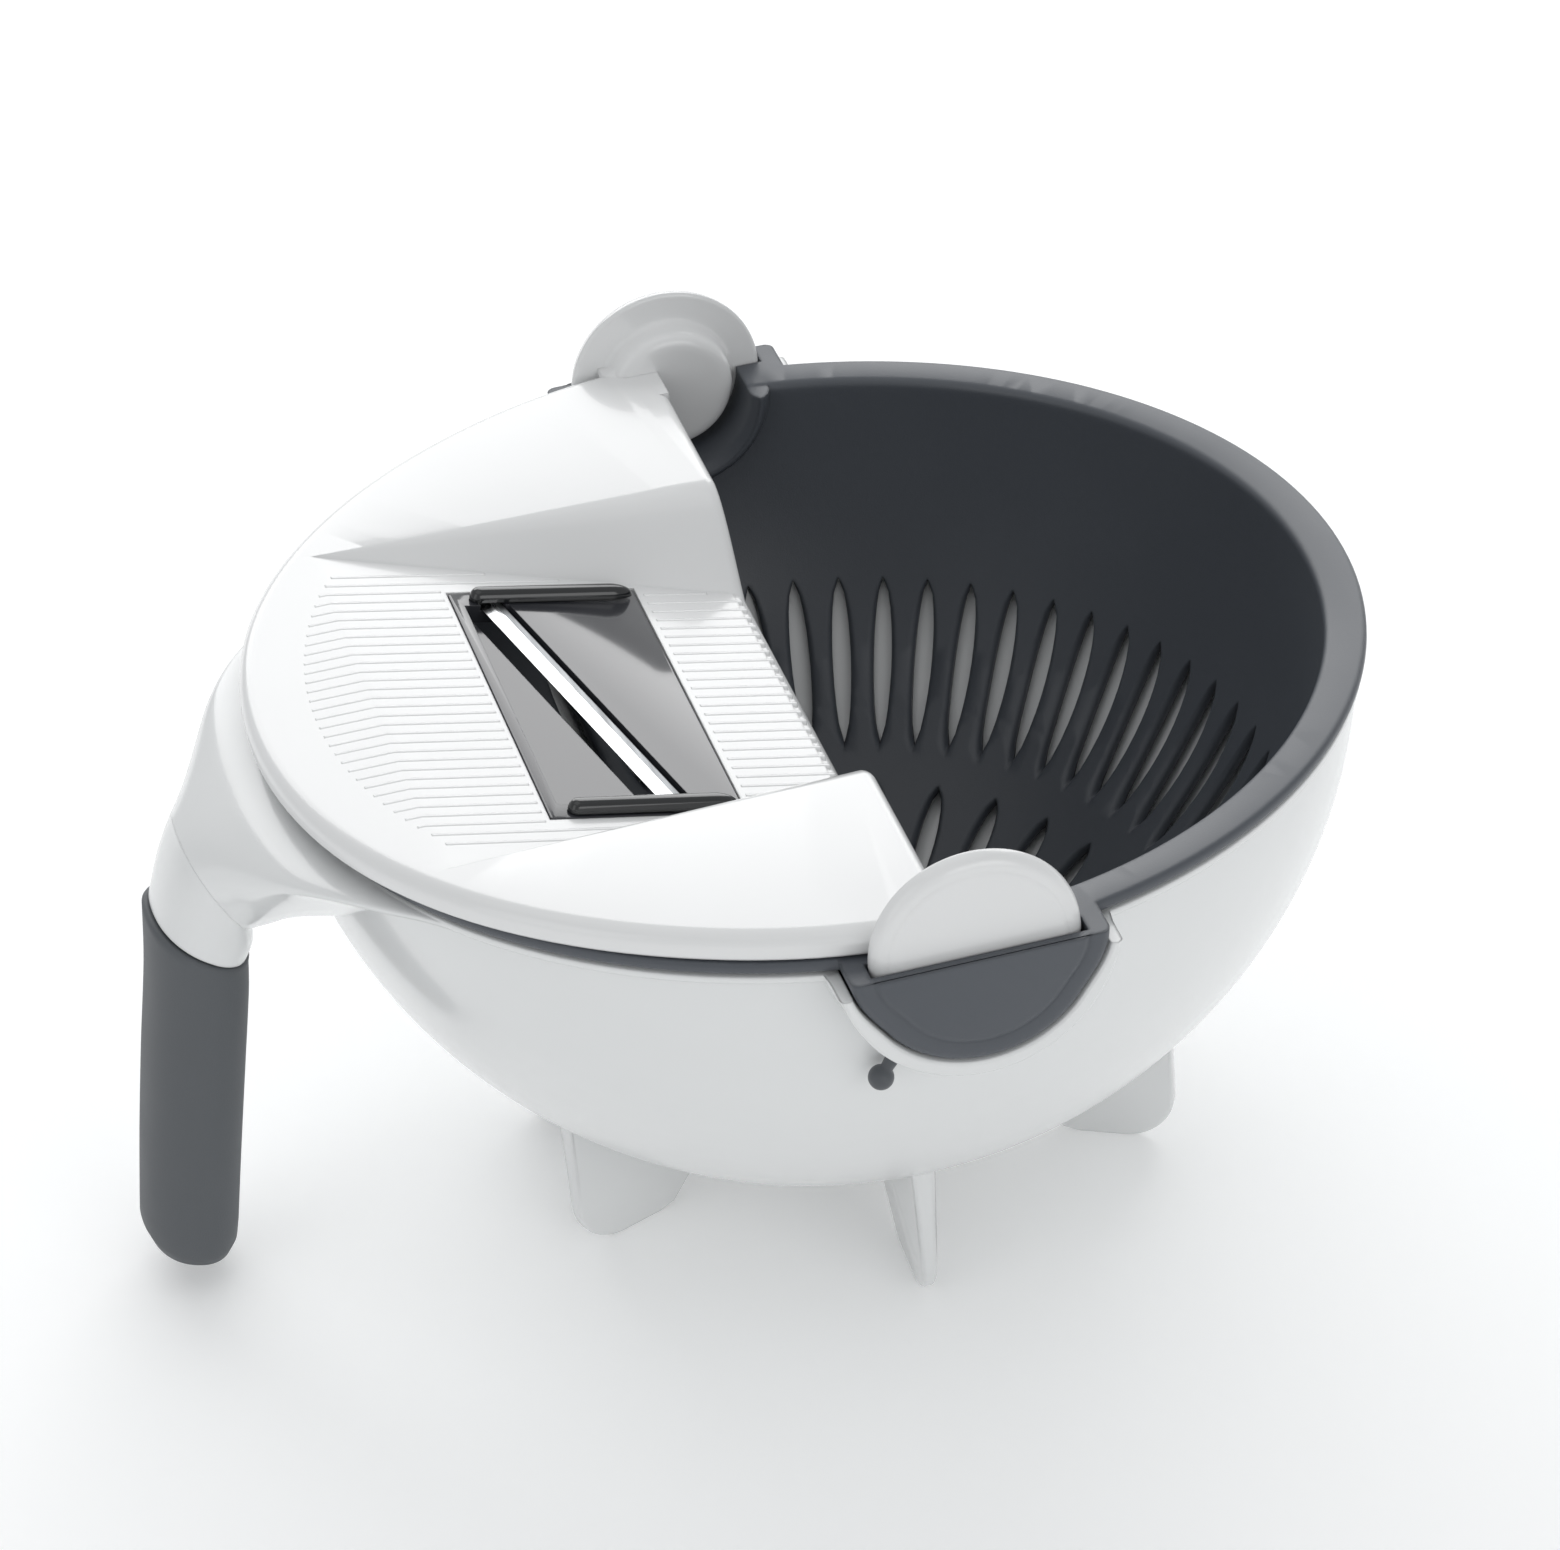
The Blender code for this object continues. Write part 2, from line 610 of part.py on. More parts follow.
def grater_lid(parent, seat):
    """White half-disc food tray with a sloping valley, two hubs and two ear discs."""
    radius = LID_RADIUS
    under = LID_HEIGHT - LID_WALL
    profile = [
        (0, under),
        (radius - 4.6, under),
        (radius - 4.4, FIT_GAP),
        (radius - 0.9, FIT_GAP),
        (radius, FIT_GAP + 1.1),
        (radius, LID_HEIGHT - LID_ROUND),
        (radius - LID_ROUND * 0.3, LID_HEIGHT - LID_ROUND * 0.3),
        (radius - LID_ROUND, LID_HEIGHT),
        (0, LID_HEIGHT),
    ]
    lid = turned("grater_lid", profile, parent, swell=LID_SWELL, spread=LID_SWELL_ANGLE)
    end = -LID_CHORD - VALLEY_LENGTH - 0.5
    lines = (3.0, -18.0, -38.0, -58.0, -75.0, end)
    trough = loft("trough_form", [valley_section(x, LID_WALL, 4.6) for x in lines], parent)
    bound = rod("trough_bound", ((-40.0, radius - 3.0), (20.0, radius - 3.0)), parent, sides=SEGMENTS)
    combine(trough, bound, "INTERSECT")
    combine(lid, trough, "UNION")
    combine(lid, box("chord_cut", (-LID_CHORD, -150, -60), (150, 150, 40), parent), "DIFFERENCE")
    valley = loft("valley_form", [valley_section(x, 0.0, 30.0) for x in lines], parent)
    combine(lid, valley, "DIFFERENCE")
    for side in (-1, 1):
        combine(lid, lid_hub(side, parent), "UNION")
    length = INSERT_LENGTH / 2 + FIT_GAP
    width = INSERT_WIDTH / 2 + FIT_GAP
    recess = box("insert_recess", (-width, -length, -INSERT_RIM - FIT_GAP), (width, length, 9), seat)
    combine(lid, recess, "DIFFERENCE")
    length = length - INSERT_LEDGE
    width = width - INSERT_LEDGE
    window = box("insert_window", (-width, -length, -12), (width, length, 9), seat)
    combine(lid, window, "DIFFERENCE")
    finish(lid, (0.88, 0.88, 0.88), 0.20, coat=0.3)
    return lid


def slant_cutter(name, left, right, half_length, low, high, seat):
    """A block whose long sides follow the blade line and whose ends are square to the insert."""
    slope = sin(radians(BLADE_ANGLE)) / cos(radians(BLADE_ANGLE))
    ring = []
    for offset, y in ((left, -half_length), (right, -half_length), (right, half_length),
                      (left, half_length)):
        ring.append((-BLADE_SHIFT + offset / cos(radians(BLADE_ANGLE)) - y * slope, y))
    return loft(name, [[(x, y, z) for x, y in ring] for z in (low, high)], seat)


def insert_tray(seat):
    """Glossy frame: rim, body, low feed side, slicing slot and a seat for the blade."""
    width = INSERT_WIDTH / 2
    length = INSERT_LENGTH / 2
    tray = box("insert_tray", (-width, -length, -INSERT_RIM), (width, length, 0), seat)
    margin = INSERT_LEDGE
    body = box("tray_body", (-width + margin, -length + margin, -INSERT_DEPTH),
               (width - margin, length - margin, -INSERT_RIM / 2), seat)
    combine(tray, body, "UNION")
    reach = length - CLAMP_INSET - CLAMP_WIDTH - 0.4
    slope = sin(radians(BLADE_ANGLE)) / cos(radians(BLADE_ANGLE))
    edge = -BLADE_SHIFT - (BLADE_WIDTH / 2 + SLICE_GAP - 0.4) / cos(radians(BLADE_ANGLE))
    border = -width + FRAME_BORDER
    corner = (edge - border) / slope
    ring = [(border, -reach), (edge + reach * slope, -reach), (edge - corner * slope, corner)]
    if corner > reach:
        ring[2:] = [(edge - reach * slope, reach), (border, reach)]
    low = -FEED_STEP
    feed = loft("feed_side", [[(x, y, z) for x, y in ring] for z in (low, 5.0)], seat)
    combine(tray, feed, "DIFFERENCE")
    left = -BLADE_WIDTH / 2 - SLICE_GAP
    right = BLADE_WIDTH / 2 + RELIEF_GAP
    slot = slant_cutter("slice_slot", left, right, reach, -INSERT_DEPTH - 2, 5.0, seat)
    combine(tray, slot, "DIFFERENCE")
    half = BLADE_WIDTH / 2 + FIT_GAP
    blade_seat = slant_cutter("blade_seat", -half, half, BLADE_LENGTH / 2 + FIT_GAP,
                              -BLADE_THICKNESS - 2 * FIT_GAP, 5.0, seat)
    combine(tray, blade_seat, "DIFFERENCE")
    finish(tray, (0.030, 0.032, 0.036), 0.08, coat=0.6)
    return tray


def slicing_blade(seat):
    """Thin steel strip with one ground edge facing the low side of the frame."""
    slope = sin(radians(BLADE_ANGLE)) / cos(radians(BLADE_ANGLE))
    half = BLADE_WIDTH / 2
    low = -BLADE_THICKNESS - FIT_GAP
    high = -FIT_GAP
    rings = []
    for y in (-BLADE_LENGTH / 2, BLADE_LENGTH / 2):
        ring = []
        for offset, z in ((-half, low), (half, low), (half, high), (-half + BLADE_BEVEL, high),
                          (-half, low + 0.12)):
            ring.append((-BLADE_SHIFT + offset / cos(radians(BLADE_ANGLE)) - y * slope, y, z))
        rings.append(ring)
    blade = loft("slicing_blade", rings, seat)
    finish(blade, (0.75, 0.76, 0.78), 0.25, metallic=1.0)
    return blade


def blade_clamp(name, side, seat):
    """Low bar with sloping sides and rounded ends that holds one end of the blade."""
    centre = side * (INSERT_LENGTH / 2 - CLAMP_INSET - CLAMP_WIDTH / 2)
    shift = (INSERT_WIDTH - CLAMP_LENGTH) / 2 - 0.9
    layers = ((FIT_GAP, 0.0), (CLAMP_HEIGHT - 0.9, 0.15), (CLAMP_HEIGHT - 0.2, 0.6), (CLAMP_HEIGHT, 1.2))
    rings = []
    for z, shrink in layers:
        half_length = CLAMP_LENGTH / 2 - shrink
        half_width = CLAMP_WIDTH / 2 - shrink
        ring = []
        for end in (1, -1):
            for step in range(7):
                turn = -pi / 2 + pi * step / 6
                x = end * (half_length - half_width + half_width * cos(turn))
                ring.append((x + shift, centre + end * half_width * sin(turn), z))
        rings.append(ring)
    clamp = loft(name, rings, seat)
    finish(clamp, (0.012, 0.013, 0.014), 0.10, coat=0.6)
    return clamp


def handle_core(parent, screws):
    """White neck that plugs into the arm and runs on down inside the grip."""
    rings = tongue(shifted(SEAM, FIT_GAP), 0.0, TONGUE_LENGTH)
    rings[-1] = tongue(shifted(SEAM, FIT_GAP), 0.0, 0.0)[0]
    rings += [section(*shifted(SEAM, FIT_GAP))]
    rings += [section(*station) for station in NECK[1:]]
    rings += [section(*inset(station, SLEEVE_WALL + 2 * FIT_GAP)) for station in GRIP]
    core = loft("handle_core", rings, parent)
    for line in screws:
        stations = ((-TONGUE_HALF_HEIGHT - 2.0, SCREW_RADIUS + FIT_GAP),
                    (TONGUE_HALF_HEIGHT - 3.0, SCREW_RADIUS + FIT_GAP))
        combine(core, rod("screw_pilot", stations, line, sides=20), "DIFFERENCE")
    finish(core, (0.86, 0.87, 0.87), 0.22, coat=0.3)
    return core


def grip_sleeve(parent):
    """Rubbery sleeve: a cup around the handle core, closed at the bottom."""
    first = shifted(GRIP[0], FIT_GAP)
    stations = (first,) + GRIP[1:]
    rings = [section(*inset(station, SLEEVE_WALL)) for station in reversed(stations[:-1])]
    deepest = shifted(inset(GRIP[-1], SLEEVE_WALL), FIT_GAP * 2)
    rings.insert(0, section(*deepest))
    rings += [section(*station) for station in stations + GRIP_END]
    grip = loft("grip_sleeve", rings, parent)
    finish(grip, (0.065, 0.070, 0.076), 0.62)
    return grip


def handle_screw(number, line):
    """Pan-head screw that pulls the tongue against the arm."""
    head = -SCREW_RECESS
    stations = (
        (head - SCREW_HEAD_HEIGHT, SCREW_HEAD_RADIUS * 0.7),
        (head - SCREW_HEAD_HEIGHT + 0.5, SCREW_HEAD_RADIUS),
        (head, SCREW_HEAD_RADIUS),
        (head, SCREW_RADIUS),
        (TONGUE_HALF_HEIGHT - 4.6, SCREW_RADIUS),
        (TONGUE_HALF_HEIGHT - 3.5, SCREW_RADIUS * 0.4),
    )
    screw = rod(f"handle_screw_{number}", stations, line, sides=20)
    depth = head - SCREW_HEAD_HEIGHT
    for x, y in ((1.7, 0.35), (0.35, 1.7)):
        slot = box("drive_slot", (-x, -y, depth - 1), (x, y, depth + 1.1), line)
        combine(screw, slot, "DIFFERENCE")
    finish(screw, (0.60, 0.61, 0.63), 0.30, metallic=1.0)
    return screw


def lock_pin(line):
    """Ball-headed pin that stops short of the ear pocket inside the cradle wall."""
    nose = -POCKET_RADIUS - FIT_GAP
    stations = [
        (nose, PIN_RADIUS - 0.4),
        (nose - 0.5, PIN_RADIUS),
        (-PIN_BALL_OUT + PIN_BALL_RADIUS, PIN_RADIUS),
    ]
    for step in range(6):
        turn = radians(142 - 134 * step / 5)
        stations.append((-PIN_BALL_OUT - PIN_BALL_RADIUS * cos(turn), PIN_BALL_RADIUS * sin(turn)))
    pin = rod("lock_pin", stations, line, sides=24)
    finish(pin, (0.065, 0.070, 0.076), 0.40)
    return pin


clear_scene()
ear_axis = frame("ear_axis", BOWL_X, 0, AXIS_HEIGHT, 0)
floor_height = LID_HEIGHT - VALLEY_DEPTH * (1 - (INSERT_CENTRE - LID_CHORD) / VALLEY_LENGTH)
insert_seat = frame("insert_seat", -INSERT_CENTRE, 0, floor_height, VALLEY_ANGLE, ear_axis)
pin_seat = frame("pin_seat", 0, -(POCKET_FACE - PIN_SETBACK), 0, radians(PIN_ANGLE), ear_axis)
screw_lines = screw_frames(ear_axis)

outer_bowl(ear_axis, screw_lines, pin_seat)
handle_core(ear_axis, screw_lines)
grip_sleeve(ear_axis)
handle_screw(1, screw_lines[0])
handle_screw(2, screw_lines[1])
drain_basket(ear_axis)
grater_lid(ear_axis, insert_seat)
insert_tray(insert_seat)
slicing_blade(insert_seat)
blade_clamp("blade_clamp_front", -1, insert_seat)
blade_clamp("blade_clamp_rear", 1, insert_seat)
lock_pin(pin_seat)
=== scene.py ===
from math import acos, atan, atan2, cos, degrees, pi, radians, sin, sqrt

import bmesh
import bpy
from mathutils import Matrix, Vector


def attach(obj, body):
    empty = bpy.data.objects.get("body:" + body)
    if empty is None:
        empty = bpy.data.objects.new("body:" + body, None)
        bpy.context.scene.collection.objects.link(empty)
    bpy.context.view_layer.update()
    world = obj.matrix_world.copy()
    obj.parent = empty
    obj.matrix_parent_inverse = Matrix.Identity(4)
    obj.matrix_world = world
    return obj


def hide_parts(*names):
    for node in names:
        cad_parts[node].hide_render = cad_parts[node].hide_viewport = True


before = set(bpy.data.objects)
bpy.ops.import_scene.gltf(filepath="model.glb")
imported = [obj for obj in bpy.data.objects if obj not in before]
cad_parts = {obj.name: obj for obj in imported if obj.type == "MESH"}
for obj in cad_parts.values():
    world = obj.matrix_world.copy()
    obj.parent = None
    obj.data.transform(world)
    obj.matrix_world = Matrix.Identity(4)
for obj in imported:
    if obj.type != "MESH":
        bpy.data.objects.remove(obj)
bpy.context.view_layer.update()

BOWL_RADIUS = 108.6
BOWL_DEPTH = 105.5
BOWL_FULLNESS = 1.94
BOWL_WALL = 2.5
RIM_DROP = 3.4
LIP_RADIUS = 109.8
FOOT_ANGLES = (29, 92, 158, -158, -92, -29)
FOOT_REACH = 69.8
FOOT_ROOT = 34.0
FOOT_HEIGHT = 7.6
FOOT_CORNER = 11.0
FLANGE_RADIUS = 110.5
HANDLE_REACH = 149.0
BOWL_X = (HANDLE_REACH - FLANGE_RADIUS) / 2
AXIS_HEIGHT = RIM_DROP + BOWL_DEPTH + FOOT_HEIGHT
PLACE = Matrix.Translation((BOWL_X * 0.001, 0, AXIS_HEIGHT * 0.001)) @ Matrix.Scale(0.001, 4)
POCKET_RADIUS = 22.8
POCKET_FACE = 116.9
POCKET_FLARE = 2.2
CRADLE_RADIUS = POCKET_RADIUS + 0.4
CRADLE_WALL = 3.4
CRADLE_FLARE = 0.7
FIT_GAP = 0.3
SEAM = ((-130.4, -12.8), (-118.6, -34.4), 16.2)
FINE = 192


def body(name, points, faces, place=PLACE, flat_quads=False):
    """A closed piece from points in millimetres, placed in the mesh, normals outward."""
    mesh = bpy.data.meshes.new(name)
    mesh.from_pydata([place @ Vector(point) for point in points], [], faces)
    bm = bmesh.new()
    bm.from_mesh(mesh)
    if not flat_quads:
        quads = [face for face in bm.faces if len(face.verts) == 4]
        bmesh.ops.triangulate(bm, faces=quads)
    bmesh.ops.recalc_face_normals(bm, faces=bm.faces)
    bm.to_mesh(mesh)
    bm.free()
    piece = bpy.data.objects.new(name, mesh)
    bpy.context.scene.collection.objects.link(piece)
    return piece


def loft(name, rings, place=PLACE):
    """A piece skinned over closed rings that share one number of points."""
    count = len(rings[0])
    points = [point for ring in rings for point in ring]
    faces = [tuple(range(count)), tuple(range(len(points) - count, len(points)))]
    for row in range(len(rings) - 1):
        for i in range(count):
            j = (i + 1) % count
            faces.append((row * count + i, row * count + j,
                          (row + 1) * count + j, (row + 1) * count + i))
    return body(name, points, faces, place)


def turned(name, profile, swell=0.0, spread=1.0):
    """A piece turned about the bowl axis; `swell` pushes it out toward the handle."""
    middle = profile[1:-1]
    points = [(0, 0, profile[0][1]), (0, 0, profile[-1][1])]
    for radius, z in middle:
        for i in range(FINE):
            angle = 2 * pi * i / FINE
            away = abs(180 - degrees(angle))
            reach = radius + swell * smoothstep(1.35 * (1 - away / spread)) * (radius > 90)
            points.append((reach * cos(angle), reach * sin(angle), z))
    faces = []
    last = 2 + (len(middle) - 1) * FINE
    for i in range(FINE):
        j = (i + 1) % FINE
        faces.append((0, 2 + j, 2 + i))
        faces.append((1, last + i, last + j))
        for row in range(len(middle) - 1):
            low = 2 + row * FINE
            faces.append((low + i, low + j, low + FINE + j, low + FINE + i))
    return body(name, points, faces, flat_quads=not swell)


def rod(name, stations, place=PLACE, along="Z", sides=64):
    """A round piece through stations (position, radius), on the z or the y axis."""
    rings = []
    for position, radius in stations:
        ring = []
        for i in range(sides):
            a = radius * cos(2 * pi * i / sides)
            b = radius * sin(2 * pi * i / sides)
            ring.append((a, position, b) if along == "Y" else (a, b, position))
        rings.append(ring)
    return loft(name, rings, place)


def block(name, low, high, place=PLACE):
    """A rectangular piece between two corners."""
    ring = [(low[0], low[1]), (high[0], low[1]), (high[0], high[1]), (low[0], high[1])]
    return loft(name, [[(x, y, z) for x, y in ring] for z in (low[2], high[2])], place)


def settle(piece):
    """Turns a piece with modifiers into a plain mesh and drops the modifiers."""
    graph = bpy.context.evaluated_depsgraph_get()
    mesh = bpy.data.meshes.new_from_object(piece.evaluated_get(graph))
    piece.modifiers.clear()
    piece.data = mesh
    return piece


def shape(piece, *steps):
    """Joins pieces to, or cuts them from, a piece; each step is (operation, tools)."""
    tools = []
    for operation, group in steps:
        for tool in group:
            modifier = piece.modifiers.new(tool.name, "BOOLEAN")
            modifier.operation = operation
            modifier.solver = "EXACT"
            modifier.object = tool
            tools.append(tool)
    settle(piece)
    for tool in tools:
        bpy.data.objects.remove(tool, do_unlink=True)
    return piece


def soften(piece, sharp=30):
    """Smooth shading that keeps edges above the given angle crisp."""
    piece.data.shade_smooth()
    piece.data.set_sharp_from_angle(angle=radians(sharp))
    return piece


def smoothstep(value):
    held = min(max(value, 0.0), 1.0)
    return held * held * (3 - 2 * held)


def dome(radius, depth, top, fullness, steps=44):
    """Bowl profile from its lowest point up to its rim."""
    profile = []
    for step in range(steps + 1):
        angle = pi / 2 * (1 - step / steps)
        r = radius * cos(angle) ** (2 / fullness)
        profile.append((0.0 if step == 0 else r, top - depth * sin(angle) ** (2 / fullness)))
    return profile


def ear_reach(radius, flare, angle):
    """Distance of the ear outline from the axis at an angle from straight down."""
    return radius + flare * smoothstep((abs(angle) - 55) / 35)


def ear_outline(radius, flare, top, steps=72):
    """Half-round outline under the ear axis that flares at its two upper corners."""
    limit = 89.6
    while -ear_reach(radius, flare, limit) * cos(radians(limit)) > top - 0.1:
        limit -= 0.1
    outline = []
    for step in range(steps + 1):
        angle = limit * (2 * step / steps - 1)
        reach = ear_reach(radius, flare, angle)
        outline.append((reach * sin(radians(angle)), -reach * cos(radians(angle))))
    wide = radius + flare
    return [(-wide, top)] + outline + [(wide, top)]


def ear_body(name, side, layers, flare, top):
    """A half-round block through layers (distance along the ear axis, radius)."""
    rings = []
    for reach, radius in layers:
        rings.append([(x, side * reach, z) for x, z in ear_outline(radius, flare, top)])
    return loft(name, rings)


def section(top, bottom, half_width, side=0.5, crown=2.3, belly=0.48, sides=96):
    """A closed cross-section of arm or handle between its top and bottom points."""
    ring = []
    for i in range(sides):
        angle = 2 * pi * i / sides
        q = cos(angle)
        if sin(angle) >= 0:
            lift = side * (1 - abs(q) ** crown) ** (1 / crown)
        else:
            lift = -(1 - side) * (1 - q * q) ** belly
        share = side - lift
        ring.append((top[0] + (bottom[0] - top[0]) * share, half_width * q,
                     top[1] + (bottom[1] - top[1]) * share))
    return ring


def curved(keys, steps):
    """Smoothly filled-in rows of numbers through the given keys."""
    rows = []
    for i in range(len(keys) - 1):
        a, b = keys[max(i - 1, 0)], keys[i]
        c, d = keys[i + 1], keys[min(i + 2, len(keys) - 1)]
        for step in range(steps):
            t = step / steps
            rows.append([0.5 * (2 * q + (r - p) * t + (2 * p - 5 * q + 4 * r - s) * t * t
                                + (3 * q - p - 3 * r + s) * t ** 3)
                         for p, q, r, s in zip(a, b, c, d)])
    return rows + [list(keys[-1])]


def sections(keys, steps):
    """Cross-sections through keys (top x, top z, bottom x, bottom z, half width, shape...)."""
    return [section((k[0], k[1]), (k[2], k[3]), *k[4:]) for k in curved(keys, steps)]


def arm():
    """The arm, from inside the bowl wall to the seam where the handle plugs in."""
    lip = -RIM_DROP - 0.1
    keys = (
        (-84.0, lip, -84.0, -37.0, 68.5, 0.045, 8, 1.9),
        (-88.0, lip, -88.0, -36.4, 65.0, 0.045, 8, 1.9),
        (-93.0, lip, -93.0, -35.6, 59.8, 0.045, 8, 1.8),
        (-98.5, lip, -98.5, -34.0, 55.2, 0.045, 8, 1.6),
        (-104.0, lip, -104.0, -33.0, 50.0, 0.05, 8, 1.45),
        (-110.0, lip - 0.3, -109.6, -32.2, 43.4, 0.07, 6, 1.25),
        (-116.0, -4.9, -112.6, -32.4, 35.4, 0.13, 4.5, 1.0),
        (-121.4, -7.2, -115.0, -33.2, 27.4, 0.24, 3.2, 0.75),
        (-126.4, -9.9, -117.0, -34.0, 20.4, 0.38, 2.6, 0.58),
        (*SEAM[0], *SEAM[1], SEAM[2], 0.5, 2.3, 0.48),
    )
    return loft("arm_form", sections(keys, 4))


def foot(angle):
    """One radial fin, thicker at its root, with its upper edge inside the bowl wall."""
    buried = BOWL_WALL / 2
    outline = []
    for step in range(13):
        r = FOOT_ROOT + (FOOT_REACH - FOOT_ROOT) * step / 12
        share = (r / (BOWL_RADIUS - buried)) ** BOWL_FULLNESS
        outline.append((r, -RIM_DROP - (BOWL_DEPTH - buried) * (1 - share) ** (1 / BOWL_FULLNESS)))
    for step in range(17):
        turn = pi / 2 * step / 16
        outline.append((FOOT_REACH - FOOT_CORNER * (1 - cos(turn)),
                        -AXIS_HEIGHT + FOOT_CORNER * (1 - sin(turn))))
    outline += [(FOOT_REACH - 20.0, -AXIS_HEIGHT), (FOOT_REACH - 23.5, -AXIS_HEIGHT + 0.8)]
    span = max(z for _, z in outline) + AXIS_HEIGHT
    along = Vector((cos(radians(angle)), sin(radians(angle)), 0))
    across = Vector((-along.y, along.x, 0))
    rings = []
    for side, inward in ((-1, 0.9), (-0.9, 0.45), (-0.7, 0.12), (-0.45, 0.0),
                         (0.45, 0.0), (0.7, 0.12), (0.9, 0.45), (1, 0.9)):
        ring = []
        for r, z in outline:
            low = z < -AXIS_HEIGHT + 30
            reach = r - inward * low * (r > FOOT_REACH - 21)
            lift = inward * (z < -AXIS_HEIGHT + FOOT_CORNER) * (-AXIS_HEIGHT + FOOT_CORNER - z)
            height = z + lift / FOOT_CORNER
            ring.append(along * reach + Vector((0, 0, height))
                        + across * side * (1.3 + 1.2 * (z + AXIS_HEIGHT) / span))
        rings.append(ring)
    return loft("foot_form", rings)


def tongue_rings(growth, length, start=1.0):
    """Rings of the flat tongue that plugs the handle into the arm, tip first."""
    top, bottom = Vector(SEAM[0]), Vector(SEAM[1])
    centre = (top + bottom) / 2
    up = (top - bottom).normalized()
    along = Vector((-up.y, up.x))
    half = up * (7.0 + growth)
    rings = []
    for distance in (-length, start):
        middle = centre + along * distance
        rings.append(section(middle + half, middle - half, 11.0 + growth, 0.5, 5, 0.2))
    return rings


def turned_frame(x, y, z, tilt):
    """Placement of a piece whose own z leans by `tilt` about the y axis."""
    return PLACE @ Matrix.Translation((x, y, z)) @ Matrix.Rotation(tilt, 4, "Y")


def screw_line(side):
    """Placement of one handle screw: its z runs up the screw, into the tongue."""
    top, bottom = Vector(SEAM[0]), Vector(SEAM[1])
    up = (top - bottom).normalized()
    centre = (top + bottom) / 2 - Vector((-up.y, up.x)) * 6.0
    return turned_frame(centre.x, side * 5.5, centre.y, atan2(up.x, up.y))


PIN_LINE = turned_frame(0, -(POCKET_FACE - 9.8), 0, radians(33.0))
top = -RIM_DROP
profile = [p for p in dome(BOWL_RADIUS, BOWL_DEPTH, top, BOWL_FULLNESS) if p[1] < top - 2.8]
profile += [(BOWL_RADIUS - 0.1, top - 2.3), (BOWL_RADIUS + 0.2, top - 1.75),
            (LIP_RADIUS - 0.4, top - 1.6), (LIP_RADIUS - 0.1, top - 1.5),
            (LIP_RADIUS, top - 1.2), (LIP_RADIUS, top - 0.4), (LIP_RADIUS - 0.1, top - 0.15),
            (LIP_RADIUS - 0.4, top), (0, top)]
outer_bowl = turned("outer_bowl_moulding", profile)
cradles = []
notches = []
for side in (-1, 1):
    face = POCKET_FACE - 0.6
    wide = CRADLE_RADIUS + CRADLE_WALL
    layers = ((92.0, wide + 1.6), (103.0, wide + 1.2), (106.0, wide + 0.6), (109.5, wide + 0.1),
              (face - 1.1, wide), (face - 0.5, wide - 0.15), (face - 0.15, wide - 0.5),
              (face, wide - 1.1))
    cradles.append(ear_body("cradle_form", side, layers, CRADLE_FLARE, top))
    layers = ((85.0, CRADLE_RADIUS), (face - 0.9, CRADLE_RADIUS), (face - 0.3, CRADLE_RADIUS + 0.2),
              (face + 0.05, CRADLE_RADIUS + 0.8), (face + 8, CRADLE_RADIUS + 0.8))
    notches.append(ear_body("pocket_notch", side, layers, POCKET_FLARE, 9.0))
hollow = dome(BOWL_RADIUS - BOWL_WALL, BOWL_DEPTH - BOWL_WALL, top, BOWL_FULLNESS)
hollow += [(BOWL_RADIUS - BOWL_WALL, 8.0), (0, 8.0)]
bores = [loft("tongue_socket", tongue_rings(FIT_GAP, 12.0 + FIT_GAP))]
for side in (-1, 1):
    bores.append(rod("screw_bore", ((-24.0, 3.2), (-10.3, 3.2), (-10.3, 1.8), (-6.0, 1.8)),
                     screw_line(side), sides=40))
bores.append(rod("pin_bore", ((-28.2, 1.8), (-CRADLE_RADIUS + 2.0, 1.8)), PIN_LINE, sides=40))
shape(outer_bowl,
      ("UNION", [arm()] + [foot(angle) for angle in FOOT_ANGLES] + cradles),
      ("DIFFERENCE", [turned("bowl_hollow", hollow)] + notches + bores))
soften(outer_bowl)


class Value:
    """A shader socket that takes Python arithmetic, each sign adding one Math node."""

    def __init__(self, finish, socket):
        self.finish = finish
        self.socket = socket

    def math(self, operation, other, swap=False):
        pair = (other, self) if swap else (self, other)
        return self.finish.add("ShaderNodeMath", {"operation": operation}, {0: pair[0], 1: pair[1]})

    def __add__(self, other):
        return self.math("ADD", other)

    def __sub__(self, other):
        return self.math("SUBTRACT", other)

    def __rsub__(self, other):
        return self.math("SUBTRACT", other, swap=True)

    def __mul__(self, other):
        return self.math("MULTIPLY", other)

    __radd__ = __add__
    __rmul__ = __mul__


